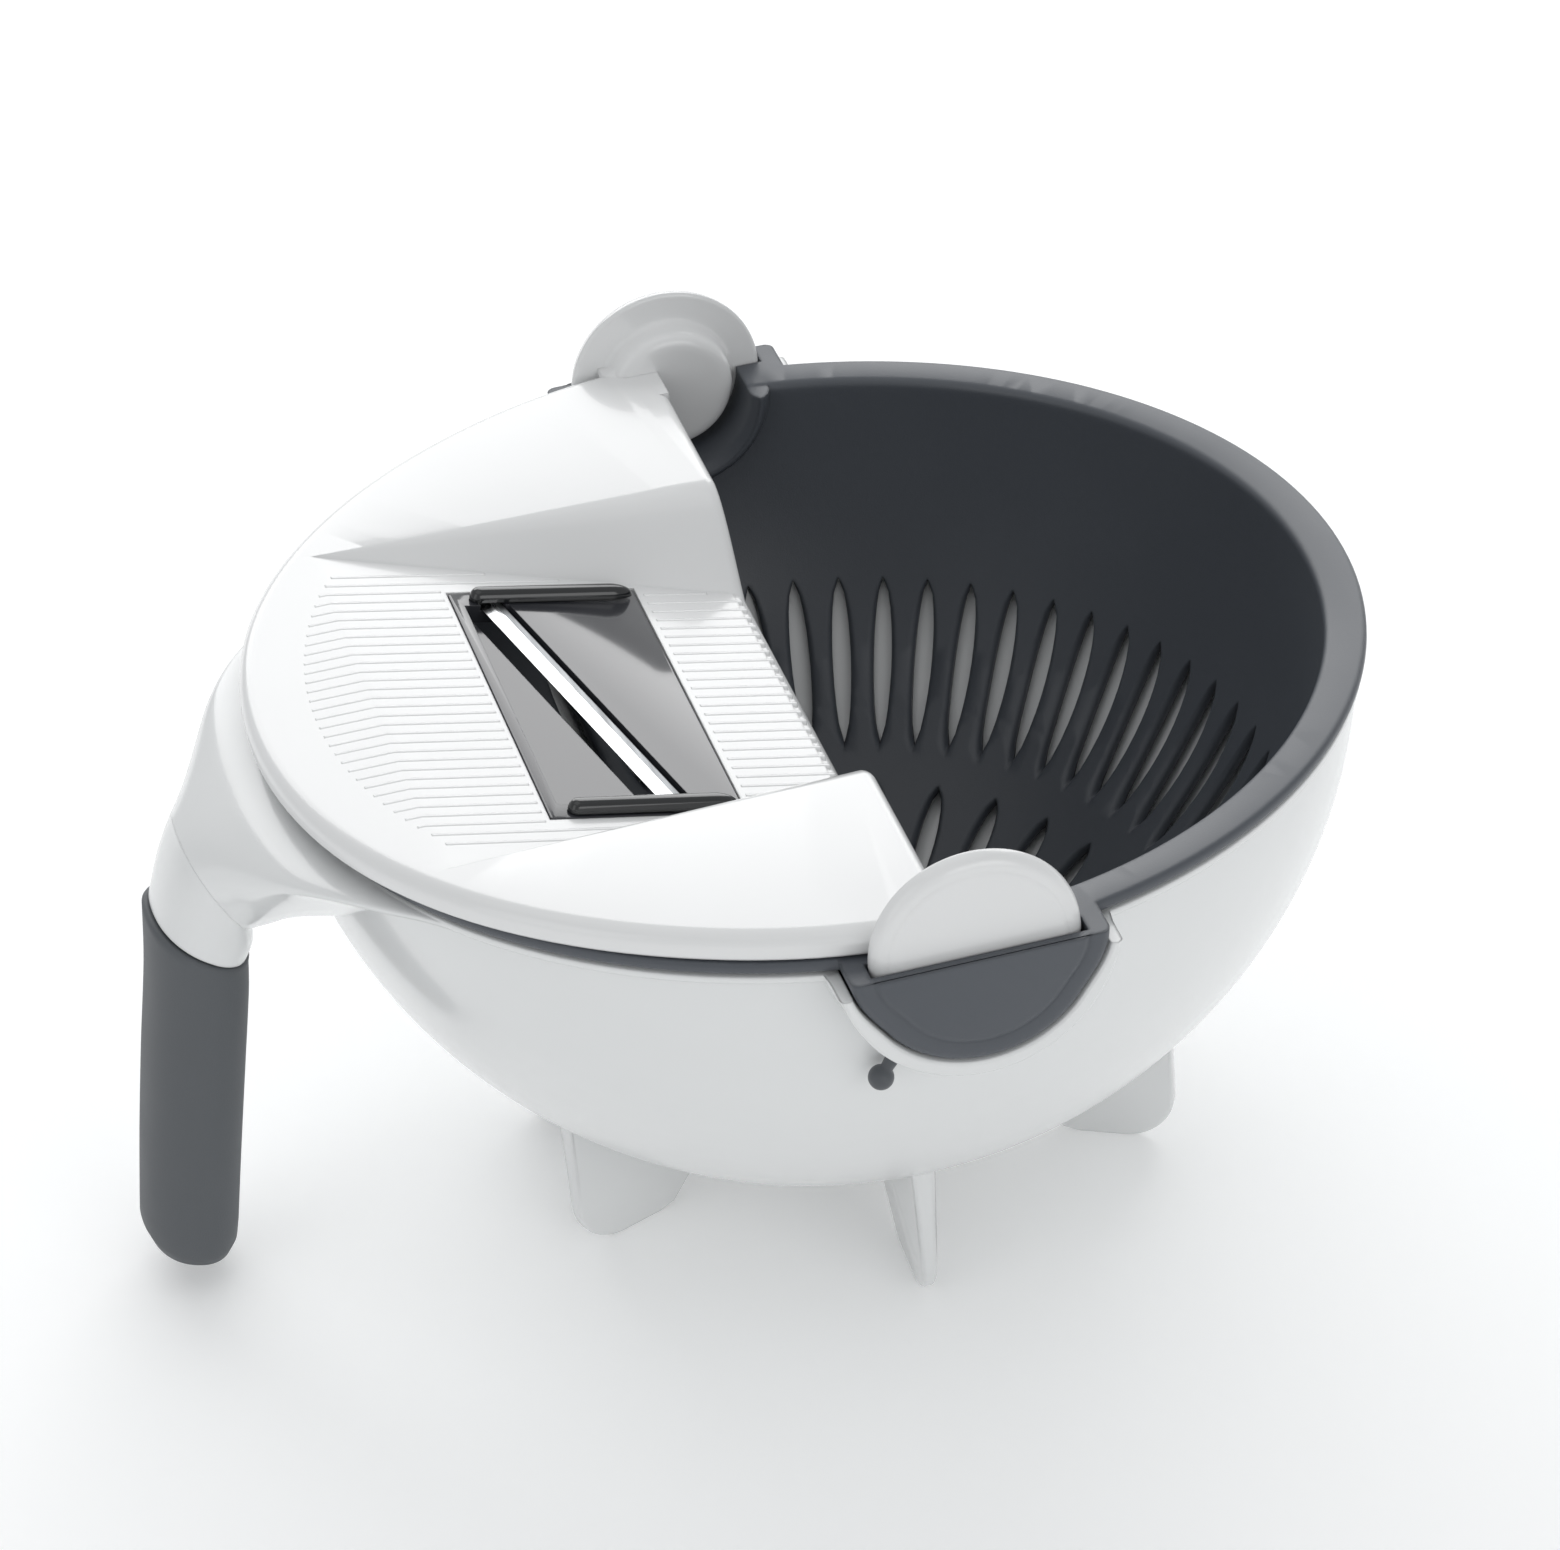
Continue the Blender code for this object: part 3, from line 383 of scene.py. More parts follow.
class Finish:
    """A material being written down: every node comes from `add`."""

    def __init__(self, name, colour, roughness, metallic=0.0, coat=0.0, ior=1.5):
        self.material = bpy.data.materials.new(name)
        self.material.use_nodes = True
        self.tree = self.material.node_tree
        self.shader = self.tree.nodes["Principled BSDF"]
        self.colour = colour
        self.shader.inputs["Base Color"].default_value = (*colour, 1.0)
        self.shader.inputs["Roughness"].default_value = roughness
        self.shader.inputs["Metallic"].default_value = metallic
        self.shader.inputs["Coat Weight"].default_value = coat
        self.shader.inputs["Coat Roughness"].default_value = 0.06
        self.shader.inputs["IOR"].default_value = ior

    def feed(self, socket, value):
        if isinstance(value, Value):
            self.tree.links.new(value.socket, socket)
        else:
            socket.default_value = value

    def add(self, kind, settings=None, sockets=None, out=0):
        node = self.tree.nodes.new(kind)
        for key, value in (settings or {}).items():
            setattr(node, key, value)
        for key, value in (sockets or {}).items():
            self.feed(node.inputs[key], value)
        return Value(self, node.outputs[out])

    def place(self):
        return self.add("ShaderNodeTexCoord", out=3)

    def noise(self, scale, detail=2.0, stretch=None):
        """Noise of so many grains to the metre, between 0 and 1."""
        where = self.place()
        if stretch:
            where = self.add("ShaderNodeMapping", None, {"Vector": where, "Scale": stretch[0],
                                                         "Rotation": stretch[1]})
        return self.add("ShaderNodeTexNoise", None,
                        {"Vector": where, "Scale": scale, "Detail": detail, "Roughness": 0.55})

    def span(self, value, low, high):
        return self.add("ShaderNodeMapRange", None, {0: value, 1: 0.3, 2: 0.7, 3: low, 4: high})

    def shade(self, value, darker):
        """Mixes the base colour with a darker or greyer one by the value."""
        mixed = self.add("ShaderNodeMix", {"data_type": "RGBA"},
                         {0: value, 6: (*self.colour, 1.0), 7: (*darker, 1.0)}, out=2)
        self.feed(self.shader.inputs["Base Color"], mixed)

    def relief(self, height, depth, edge=0.0007):
        """Bump over softened edges; `depth` is in metres."""
        rounded = self.add("ShaderNodeBevel", {"samples": 4}, {"Radius": edge})
        bump = self.add("ShaderNodeBump", None,
                        {"Height": height, "Distance": depth, "Strength": 1.0, "Normal": rounded})
        self.feed(self.shader.inputs["Normal"], bump)

    def rough(self, value):
        self.feed(self.shader.inputs["Roughness"], value)


def white_gloss(name, colour, roughness):
    """Glossy white moulding: faint flow clouds, a trace of orange peel, soft edges."""
    finish = Finish(name, colour, roughness, coat=0.35)
    clouds = finish.noise(14.0, 3.0)
    grain = finish.noise(1400.0, 1.0)
    finish.shade(finish.span(clouds, 0.0, 0.5), tuple(c * 0.95 for c in colour))
    finish.rough(finish.span(clouds, roughness - 0.03, roughness + 0.05) + grain * 0.03)
    finish.relief(finish.noise(260.0, 1.0) + grain * 0.15, 0.000008)
    return finish.material


outer_bowl.data.materials.clear()
outer_bowl.data.materials.append(white_gloss("bowl_white", (0.77, 0.78, 0.78), 0.20))
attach(outer_bowl, "bowl")
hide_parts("outer_bowl")

# Handle core. The white neck plugs into the arm with a flat tongue and runs down inside the
# grip as a tapering spigot. Same moulding plastic as the bowl, held by two screws from below.
NECK = (
    SEAM,
    ((-132.8, -17.0), (-118.4, -36.9), 15.6),
    ((-135.0, -22.2), (-118.7, -39.0), 15.2),
    ((-137.4, -29.6), (-119.9, -41.4), 14.8),
)
GRIP = (
    ((-138.2, -29.6), (-119.2, -41.8), 15.3),
    ((-140.4, -45.0), (-120.8, -51.0), 15.3),
    ((-143.6, -65.0), (-123.9, -70.0), 15.1),
    ((-146.4, -84.0), (-127.0, -89.0), 14.8),
    ((-148.5, -100.0), (-129.5, -105.0), 14.5),
)


def inset(station, margin):
    """A handle station made smaller by a margin all round."""
    high, low = Vector(station[0]), Vector(station[1])
    step = (low - high).normalized() * margin
    return tuple(high + step), tuple(low - step), station[2] - margin


def shifted(station, distance):
    """A handle station moved square to itself, toward the grip."""
    high, low = Vector(station[0]), Vector(station[1])
    up = (high - low).normalized()
    along = Vector((-up.y, up.x)) * distance
    return tuple(high + along), tuple(low + along), station[2]


def flat(station):
    """A handle station as one row of numbers."""
    return (*station[0], *station[1], station[2])


rings = tongue_rings(0.0, 12.0 - FIT_GAP, -0.3)
neck = [flat(station) for station in NECK]
rings += sections([flat(inset(shifted(SEAM, -0.25), 0.25))], 1)
rings += sections(neck, 6)
rings += sections([flat(inset(station, 3.6)) for station in GRIP], 3)
handle_core = loft("handle_neck", rings)
pilots = []
for side in (-1, 1):
    pilots.append(rod("screw_pilot", ((-9.0, 1.8), (4.0, 1.8)), screw_line(side), sides=40))
shape(handle_core, ("DIFFERENCE", pilots))
soften(handle_core)
handle_core.data.materials.clear()
handle_core.data.materials.append(white_gloss("neck_white", (0.77, 0.78, 0.78), 0.20))
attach(handle_core, "bowl")
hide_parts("handle_core")

# Handle screws. Two plated steel pan-head screws with a cross drive, sunk in bores on the
# underside of the arm; they draw the tongue tight. The turned solids stay as they are.


def steel(name, colour, roughness, stretch):
    """Bright steel with fine grinding lines that run one way."""
    finish = Finish(name, colour, roughness, metallic=1.0)
    lines = finish.noise(900.0, 3.0, stretch)
    finish.shade(finish.span(lines, 0.0, 0.35), tuple(c * 0.7 for c in colour))
    finish.rough(finish.span(lines, roughness - 0.05, roughness + 0.10))
    finish.relief(lines, 0.000004, edge=0.0001)
    return finish.material


screw_steel = steel("screw_plating", (0.60, 0.61, 0.63), 0.30, ((1, 1, 1), (0, 0, 0)))
for name in ("handle_screw_1", "handle_screw_2"):
    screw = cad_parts[name]
    screw.data.materials.clear()
    screw.data.materials.append(screw_steel)

# Grip sleeve. A soft-touch grey sleeve pushed over the core up to a shoulder at the neck. Its
# walls are about 3 mm thick; it is closed and rounded at the bottom.
GRIP_END = (
    ((-HANDLE_REACH, -103.8), (-130.2, -108.8), 13.9),
    ((-147.9, -107.2), (-131.6, -111.4), 12.2),
    ((-144.9, -109.4), (-134.2, -112.2), 9.0),
)
first = shifted(GRIP[0], FIT_GAP)
stations = [first] + list(GRIP[1:])
rings = [section(*shifted(inset(GRIP[-1], 3.0), FIT_GAP * 2))]
rings += sections([flat(inset(station, 3.0)) for station in reversed(stations[:-1])], 3)
rings += sections([flat(inset(first, 0.55))], 1)
rings += sections([flat(shifted(inset(first, 0.12), 0.35))], 1)
rings += sections([flat(shifted(first, 1.0))] + [flat(s) for s in stations[1:]], 6)
rings += sections([flat(station) for station in GRIP_END], 1)
rings += sections([flat(((-142.6, -110.3), (-136.6, -112.25), 5.0))], 1)
grip_sleeve = soften(loft("grip_cover", rings), 50)


def soft_touch(name, colour):
    """Soft-touch rubber: a fine even stipple, a dull sheen and slight handling wear."""
    finish = Finish(name, colour, 0.60)
    stipple = finish.noise(2600.0, 1.0)
    wear = finish.noise(24.0, 4.0)
    finish.shade(finish.span(wear, 0.0, 0.55), tuple(c * 1.22 for c in colour))
    finish.rough(finish.span(wear, 0.52, 0.66) + stipple * 0.06)
    finish.relief(stipple + wear * 0.2, 0.00004, edge=0.0006)
    return finish.material


grip_sleeve.data.materials.append(soft_touch("grip_soft_touch", (0.085, 0.092, 0.100)))
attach(grip_sleeve, "bowl")
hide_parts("grip_sleeve")

# Lock pin. A small moulded pin in the basket's grey with a ball head to pull on; its stem
# swells where it enters the bore under the front cradle.
stations = [(-POCKET_RADIUS - FIT_GAP, 0.8), (-POCKET_RADIUS - 0.45, 1.2),
            (-POCKET_RADIUS - 0.9, 1.5), (-CRADLE_RADIUS - CRADLE_WALL - 0.5, 1.5),
            (-30.4, 1.35), (-31.6, 1.25)]
for step in range(15):
    turn = radians(150 - 146 * step / 14)
    stations.append((-34.2 - 2.5 * cos(turn), 2.5 * sin(turn)))
lock_pin = soften(rod("lock_pin_moulding", stations, PIN_LINE, sides=48), 60)


def grey_satin(name, colour, roughness):
    """Satin grey moulding: fine spark-eroded grain with slightly polished patches."""
    finish = Finish(name, colour, roughness)
    grain = finish.noise(3200.0, 1.0)
    clouds = finish.noise(18.0, 3.0)
    finish.shade(finish.span(clouds, 0.0, 0.5), tuple(c * 1.12 for c in colour))
    finish.rough(finish.span(clouds, roughness - 0.04, roughness + 0.05) + grain * 0.05)
    finish.relief(grain + clouds * 0.3, 0.000018, edge=0.0011)
    return finish.material


lock_pin.data.materials.append(grey_satin("pin_grey", (0.070, 0.076, 0.085), 0.34))
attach(lock_pin, "pin")
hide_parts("lock_pin")

# Drain basket. A single satin grey moulding: a dome with two rings of drain slots, a rolled
# flange, and two half-round ear pockets that drop into the bowl's cradles.
BASKET_RADIUS = 104.0
BASKET_WALL = 2.0
BASKET_DEPTH = 99.0
BASKET_TOP = 3.0
FLANGE_THICKNESS = 2.4
DISC_RADIUS = 20.5
DISC_THICKNESS = 3.6
DISC_FACE = 114.3
CHAMBER_RADIUS = DISC_RADIUS + 0.5
POCKET_WALL = 1.8


def wall_radius(z):
    """Radius of the basket's inner face at height z."""
    depth = (-BASKET_TOP - z) / (BASKET_DEPTH - BASKET_WALL)
    return (BASKET_RADIUS - BASKET_WALL) * sqrt(max(1 - depth * depth, 0.0))


def slot_tool(name, top_z, bottom_z, width, upright):
    """Cutter for one slot that follows the wall: wide at the inner face, narrow through it."""
    half = []
    for step in range(11):
        share = -1 + 2 * step / 10
        z = (top_z + bottom_z) / 2 + share * (top_z - bottom_z) / 2
        half.append((share, (1 - share * share) ** 0.62 * width / 2, z))
    rings = []
    for depth, grow in ((-7.0, 2.0), (-0.35, 1.62), (0.35, 1.22), (0.95, 1.0), (8.0, 1.0)):
        ring = []
        middle = (top_z + bottom_z) / 2
        for sign, order in ((1, half), (-1, half[-2:0:-1])):
            for share, offset, z in order:
                stretch = 1 + (grow - 1) * 0.09
                z_at = middle + (z - middle) * stretch
                r = wall_radius(z_at)
                if upright:
                    lean = atan2(r / wall_radius(-BASKET_TOP), (-BASKET_TOP - z_at) / 97.0)
                    ring.append((r + depth * sin(lean), sign * offset * grow,
                                 z_at - depth * cos(lean)))
                else:
                    ring.append((r + depth, sign * offset * grow, z_at))
        rings.append(ring)
    centred = Matrix.Scale(0.001, 4)
    return loft(name, rings, centred)


def ring_tree():
    """Geometry Nodes tree that repeats a piece round the z axis."""
    tree = bpy.data.node_groups.new("Repeat Round Axis", "GeometryNodeTree")
    face = tree.interface
    face.new_socket("Geometry", in_out="INPUT", socket_type="NodeSocketGeometry")
    count = face.new_socket("Count", in_out="INPUT", socket_type="NodeSocketInt")
    phase = face.new_socket("Phase", in_out="INPUT", socket_type="NodeSocketFloat")
    material = face.new_socket("Material", in_out="INPUT", socket_type="NodeSocketMaterial")
    face.new_socket("Geometry", in_out="OUTPUT", socket_type="NodeSocketGeometry")
    link = tree.links.new
    given = tree.nodes.new("NodeGroupInput")
    line = tree.nodes.new("GeometryNodeMeshLine")
    line.inputs["Offset"].default_value = (0, 0, 0)
    index = tree.nodes.new("GeometryNodeInputIndex")
    share = tree.nodes.new("ShaderNodeMath")
    share.operation = "DIVIDE"
    turn = tree.nodes.new("ShaderNodeMath")
    turn.operation = "MULTIPLY_ADD"
    turn.inputs[1].default_value = 2 * pi
    spin = tree.nodes.new("ShaderNodeCombineXYZ")
    euler = tree.nodes.new("FunctionNodeEulerToRotation")
    copies = tree.nodes.new("GeometryNodeInstanceOnPoints")
    real = tree.nodes.new("GeometryNodeRealizeInstances")
    coat = tree.nodes.new("GeometryNodeSetMaterial")
    out = tree.nodes.new("NodeGroupOutput")
    link(given.outputs["Count"], line.inputs["Count"])
    link(index.outputs[0], share.inputs[0])
    link(given.outputs["Count"], share.inputs[1])
    link(share.outputs[0], turn.inputs[0])
    link(given.outputs["Phase"], turn.inputs[2])
    link(turn.outputs[0], spin.inputs["Z"])
    link(spin.outputs[0], euler.inputs[0])
    link(line.outputs[0], copies.inputs["Points"])
    link(given.outputs["Geometry"], copies.inputs["Instance"])
    link(euler.outputs[0], copies.inputs["Rotation"])
    link(copies.outputs[0], real.inputs[0])
    link(real.outputs[0], coat.inputs["Geometry"])
    link(given.outputs["Material"], coat.inputs["Material"])
    link(coat.outputs[0], out.inputs[0])
    return tree, count.identifier, phase.identifier, material.identifier


basket_grey = grey_satin("basket_grey", (0.072, 0.080, 0.093), 0.36)
repeat, count_id, phase_id, material_id = ring_tree()


def slot_ring(tool, count, phase):
    """All the slots of one ring as a single cutter in its place."""
    modifier = tool.modifiers.new("slots", "NODES")
    modifier.node_group = repeat
    modifier[count_id] = count
    modifier[phase_id] = phase
    modifier[material_id] = basket_grey
    settle(tool)
    tool.data.transform(Matrix.Translation((BOWL_X * 0.001, 0, AXIS_HEIGHT * 0.001)))
    return tool


upper = slot_ring(slot_tool("upper_slot", -44.0, -73.2, 4.0, False), 60, 0.0)
lower = slot_ring(slot_tool("lower_slot", -78.0, -92.0, 4.0, True), 30, pi / 30)

low = -FLANGE_THICKNESS
profile = [p for p in dome(BASKET_RADIUS, BASKET_DEPTH, -BASKET_TOP, 2) if p[1] < -BASKET_TOP - 1]
profile += [(BASKET_RADIUS, low - 0.4), (BASKET_RADIUS + 0.4, low)]
for step in range(7):
    turn = pi / 2 * step / 6
    profile.append((FLANGE_RADIUS - 0.9 + 0.9 * sin(turn), low + 0.9 - 0.9 * cos(turn)))
for step in range(7):
    turn = pi / 2 * step / 6
    profile.append((FLANGE_RADIUS - 1.0 + 1.0 * cos(turn), -1.0 + 1.0 * sin(turn)))
profile.append((0, 0))
drain_basket = turned("drain_basket_moulding", profile)
cups = []
cuts = []
back = DISC_FACE - DISC_THICKNESS - 0.5
for side in (-1, 1):
    face = POCKET_FACE
    layers = [(92.0, POCKET_RADIUS), (face - 2.0, POCKET_RADIUS)]
    for step in range(1, 8):
        turn = pi / 2 * step / 7
        layers.append((face - 2.0 + 2.0 * sin(turn), POCKET_RADIUS - 2.0 + 2.0 * cos(turn)))
    layers += [(face - 0.05, 19.2), (face - 0.25, 18.6), (face - 0.1, 18.2),
               (face + 0.25, 17.9), (face + 0.5, 17.2)]
    cups.append(ear_body("pocket_form", side, layers, POCKET_FLARE, 0.0))
    collar = [(side * 96.0, 17.6), (side * 97.2, 18.8), (side * 99.0, 19.6), (side * 108.0, 20.2)]
    collar_form = rod("saddle_collar", collar, along="Y", sides=96)
    cups.append(shape(collar_form, ("DIFFERENCE", [block("collar_top", (-40, -150, -0.35),
                                                         (40, 150, 40))])))
    cuts.append(rod("disc_chamber", ((side * back, CHAMBER_RADIUS),
                                     (side * (face - POCKET_WALL), CHAMBER_RADIUS)),
                    along="Y", sides=128))
    saddle = ((side * 85.0, 17.4), (side * 96.2, 16.6), (side * 97.6, 15.6), (side * 99.0, 15.3),
              (side * (back + 1), 15.3))
    cuts.append(rod("hub_saddle", saddle, along="Y", sides=96))
inner = BASKET_RADIUS - BASKET_WALL
hollow = dome(inner, BASKET_DEPTH - BASKET_WALL, -BASKET_TOP, 2)
for step in range(7):
    turn = pi / 2 * step / 6
    hollow.append((inner + 1.8 * (1 - cos(turn)), -1.7 + 1.8 * sin(turn)))
hollow += [(inner + 1.8, 8.0), (0, 8.0)]
hollow_form = turned("basket_hollow", hollow)
shape(drain_basket,
      ("UNION", [cup for cup in cups if cup.name.startswith("pocket")]),
      ("DIFFERENCE", [hollow_form]),
      ("UNION", [cup for cup in cups if cup.name.startswith("saddle")]),
      ("DIFFERENCE", [upper, lower] + cuts))
soften(drain_basket, 34)
drain_basket.data.materials.clear()
drain_basket.data.materials.append(basket_grey)
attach(drain_basket, "basket")
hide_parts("drain_basket")

# Grater lid. A glossy white half-disc tray: a sloping valley with banked sides leads the food
# over the insert. Two hubs with broad ear discs grow out of its ends and turn in the pockets.
LID_RADIUS = 110.3
LID_HEIGHT = 6.0
LID_WALL = 2.8
LID_CHORD = 3.0
VALLEY_DEPTH = 18.0
VALLEY_LENGTH = 85.0
VALLEY_HALF_WIDTH = 60.0
VALLEY_BANK = 1.1
VALLEY_ANGLE = atan(VALLEY_DEPTH / VALLEY_LENGTH)
INSERT_CENTRE = 44.65
INSERT_LENGTH = 87.0
INSERT_WIDTH = 39.0


def valley_floor(x):
    """Height of the valley floor at x."""
    return LID_HEIGHT - VALLEY_DEPTH * (1 + (x + LID_CHORD) / VALLEY_LENGTH)


def valley_half(x):
    """Half width of the valley floor at x."""
    return VALLEY_HALF_WIDTH - VALLEY_BANK * (LID_HEIGHT + 0.15 - valley_floor(x))


def valley_section(x, drop, cover):
    """Cross-section of the valley at x: floor and banks, closed off at a height."""
    crest = LID_HEIGHT + 0.15
    bank = []
    for step in range(25):
        share = step / 24
        y = valley_half(x) + (VALLEY_HALF_WIDTH - valley_half(x)) * share + drop * 0.5
        rise = sin(pi / 2 * share) ** 1.15
        bank.append((y, valley_floor(x) + (crest - valley_floor(x)) * rise - drop))
    edge = bank[-1][0] + drop * 0.2
    ring = [(x, edge, cover)] + [(x, y, z) for y, z in reversed(bank)]
    return ring + [(x, -y, z) for y, z in bank] + [(x, -edge, cover)]


def hub_blend(side, end):
    """The rounded shoulder where a hub grows out of the tray, nose first."""
    rings = []
    for step in range(25):
        share = step / 24
        y = 104.7 + 3.2 * share if step < 24 else end
        r = 10.6 + 2.95 * sqrt(1 - (1 - share) ** 2)
        fillet = 0.3 + 3.7 * smoothstep(share * 1.2)
        centre = (-sqrt((r + fillet) ** 2 - (LID_HEIGHT + fillet) ** 2), LID_HEIGHT + fillet)
        start = atan2(centre[1], centre[0])
        top = acos(-LID_CHORD / r)
        ring = [(-LID_CHORD, 5.0), (centre[0] - 0.4, 5.0), (centre[0], LID_HEIGHT)]
        for n in range(1, 11):
            turn = -pi / 2 + (start - pi / 2) * n / 10
            ring.append((centre[0] + fillet * cos(turn), centre[1] + fillet * sin(turn)))
        for n in range(1, 15):
            turn = start + (top - start) * n / 14
            ring.append((r * cos(turn), r * sin(turn)))
        rings.append([(x, side * y, z) for x, z in ring])
    return loft("hub_blend", rings)


profile = [(0, LID_HEIGHT - LID_WALL), (LID_RADIUS - 4.6, LID_HEIGHT - LID_WALL),
           (LID_RADIUS - 4.4, 0.9), (LID_RADIUS - 4.1, 0.45), (LID_RADIUS - 3.6, FIT_GAP),
           (LID_RADIUS - 1.2, FIT_GAP), (LID_RADIUS - 0.5, 0.55), (LID_RADIUS - 0.1, 1.1)]
for step in range(11):
    turn = pi / 2 * step / 10
    profile.append((LID_RADIUS - 3.4 + 3.4 * cos(turn), LID_HEIGHT - 2.9 + 2.9 * sin(turn)))
profile.append((0, LID_HEIGHT))
grater_lid = turned("grater_lid_moulding", profile, 2.9, 66.0)
lines = [3.0 - 8.0 * step for step in range(11)] + [-82.0, -86.0, -88.5]
trough = loft("trough_form", [valley_section(x, LID_WALL, 4.6) for x in lines])
bound = rod("trough_bound", ((-40.0, LID_RADIUS - 3.0), (20.0, LID_RADIUS - 3.0)), sides=FINE)
shape(trough, ("INTERSECT", [bound]))
chord = block("chord_cut", (-LID_CHORD, -150, -60), (150, 150, 40))
valley = loft("valley_form", [valley_section(x, 0.0, 30.0) for x in lines])
rim = [(-95.0, LID_HEIGHT)] + [(y, min(z, LID_HEIGHT)) for _, y, z in
                               reversed(valley_section(-LID_CHORD, 0.0, 30.0)[1:-1])]
rim += [(95.0, LID_HEIGHT)]
round_off = ((-5.4, 0.05), (-4.9, -0.06), (-4.2, -0.37), (-3.6, -0.85), (-3.2, -1.5),
             (-2.95, -2.4), (-1.5, -2.4), (-1.5, 4.0), (-5.4, 4.0))
chord_edge = loft("chord_edge", [[(x, y, z + lift) for x, lift in round_off] for y, z in rim])
hubs = []
for side in (-1, 1):
    back = DISC_FACE - DISC_THICKNESS
    stations = [(104.5, 10.0), (104.55, 11.0), (104.8, 12.0), (105.3, 12.8), (106.0, 13.3),
                (107.2, 13.6),
                (back - 1.8, 13.8), (back - 0.9, 14.1), (back - 0.3, 14.7), (back, 15.8),
                (back, DISC_RADIUS - 0.8), (back + 0.15, DISC_RADIUS - 0.35),
                (back + 0.5, DISC_RADIUS), (back + 1.1, DISC_RADIUS),
                (DISC_FACE - 1.3, DISC_RADIUS - 0.35), (DISC_FACE - 0.6, DISC_RADIUS - 1.0),
                (DISC_FACE - 0.15, DISC_RADIUS - 1.9), (DISC_FACE, DISC_RADIUS - 2.8),
                (DISC_FACE - 0.02, 17.4), (DISC_FACE + 0.12, 17.1), (DISC_FACE + 0.3, 16.4)]
    hubs.append(rod("hub_form", [(side * y, r) for y, r in stations], along="Y", sides=128))
    hubs.append(hub_blend(side, back + 0.5))
SEAT = turned_frame(-INSERT_CENTRE, 0, valley_floor(-INSERT_CENTRE), VALLEY_ANGLE)
wide, long = INSERT_WIDTH / 2 + FIT_GAP, INSERT_LENGTH / 2 + FIT_GAP
recess = block("insert_recess", (-wide, -long, -1.5), (wide, long, 9), SEAT)
window = block("insert_window", (-wide + 2, -long + 2, -12), (wide - 2, long - 2, 9), SEAT)
shape(grater_lid, ("UNION", [trough]), ("DIFFERENCE", [chord, valley, chord_edge]),
      ("UNION", hubs),
      ("DIFFERENCE", [recess, window]))
soften(grater_lid, 28)
lid_white = white_gloss("lid_white", (0.78, 0.785, 0.785), 0.18)
grater_lid.data.materials.clear()
grater_lid.data.materials.append(lid_white)
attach(grater_lid, "lid")
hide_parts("grater_lid")

# Feed ribs. Fine ribs moulded along the valley floor on both sides of the insert, so that wet
# food slides over the tray instead of sticking to it.
RIB_PITCH = 3.4
RIB_RADIUS = 1.1
RIB_SINK = 0.99


def floor_point(x, y):
    """A point just under the tray surface at x, y."""
    return (x, y, min(valley_floor(x), LID_HEIGHT) - RIB_SINK)


def rib_lines():
    """Middle lines of all the ribs, each from its inner to its outer end."""
    points = []
    edges = []
    reach = INSERT_WIDTH / 2 * cos(VALLEY_ANGLE) + 1.4
    number = int(53 / RIB_PITCH)
    for k in range(-number, number + 1):
        y = k * RIB_PITCH
        outer = -sqrt(100.0 ** 2 - y * y)
        start = -LID_CHORD - 1.5
        while valley_half(start) < abs(y) + 1.0:
            start -= 0.5
        spans = [(start, outer)]
        if abs(y) < INSERT_LENGTH / 2 + 1.0:
            spans = [(start, -INSERT_CENTRE + reach), (-INSERT_CENTRE - reach, outer)]
        for a, b in spans:
            if a - b < 3.0:
                continue
            stops = [a] + [x for x in (-84.0, -87.0, -88.0, -89.0, -92.0) if b < x < a] + [b]
            for n, x in enumerate(stops):
                points.append(PLACE @ Vector(floor_point(x, y)))
                if n:
                    edges.append((len(points) - 2, len(points) - 1))
    return points, edges


def rib_tree():
    """Geometry Nodes tree that runs a round rib along every line of a mesh."""
    tree = bpy.data.node_groups.new("Ribs On Lines", "GeometryNodeTree")
    face = tree.interface
    face.new_socket("Geometry", in_out="INPUT", socket_type="NodeSocketGeometry")
    radius = face.new_socket("Rib Radius", in_out="INPUT", socket_type="NodeSocketFloat")
    material = face.new_socket("Material", in_out="INPUT", socket_type="NodeSocketMaterial")
    face.new_socket("Geometry", in_out="OUTPUT", socket_type="NodeSocketGeometry")
    link = tree.links.new
    given = tree.nodes.new("NodeGroupInput")
    curve = tree.nodes.new("GeometryNodeMeshToCurve")
    round_form = tree.nodes.new("GeometryNodeCurvePrimitiveCircle")
    round_form.inputs["Resolution"].default_value = 24
    skin = tree.nodes.new("GeometryNodeCurveToMesh")
    skin.inputs["Fill Caps"].default_value = True
    real = tree.nodes.new("GeometryNodeRealizeInstances")
    coat = tree.nodes.new("GeometryNodeSetMaterial")
    out = tree.nodes.new("NodeGroupOutput")
    link(given.outputs["Geometry"], curve.inputs[0])
    link(given.outputs["Rib Radius"], round_form.inputs["Radius"])
    link(curve.outputs[0], skin.inputs["Curve"])
    link(round_form.outputs[0], skin.inputs["Profile Curve"])
    link(skin.outputs[0], real.inputs[0])
    link(real.outputs[0], coat.inputs["Geometry"])
    link(given.outputs["Material"], coat.inputs["Material"])
    link(coat.outputs[0], out.inputs[0])
    return tree, radius.identifier, material.identifier


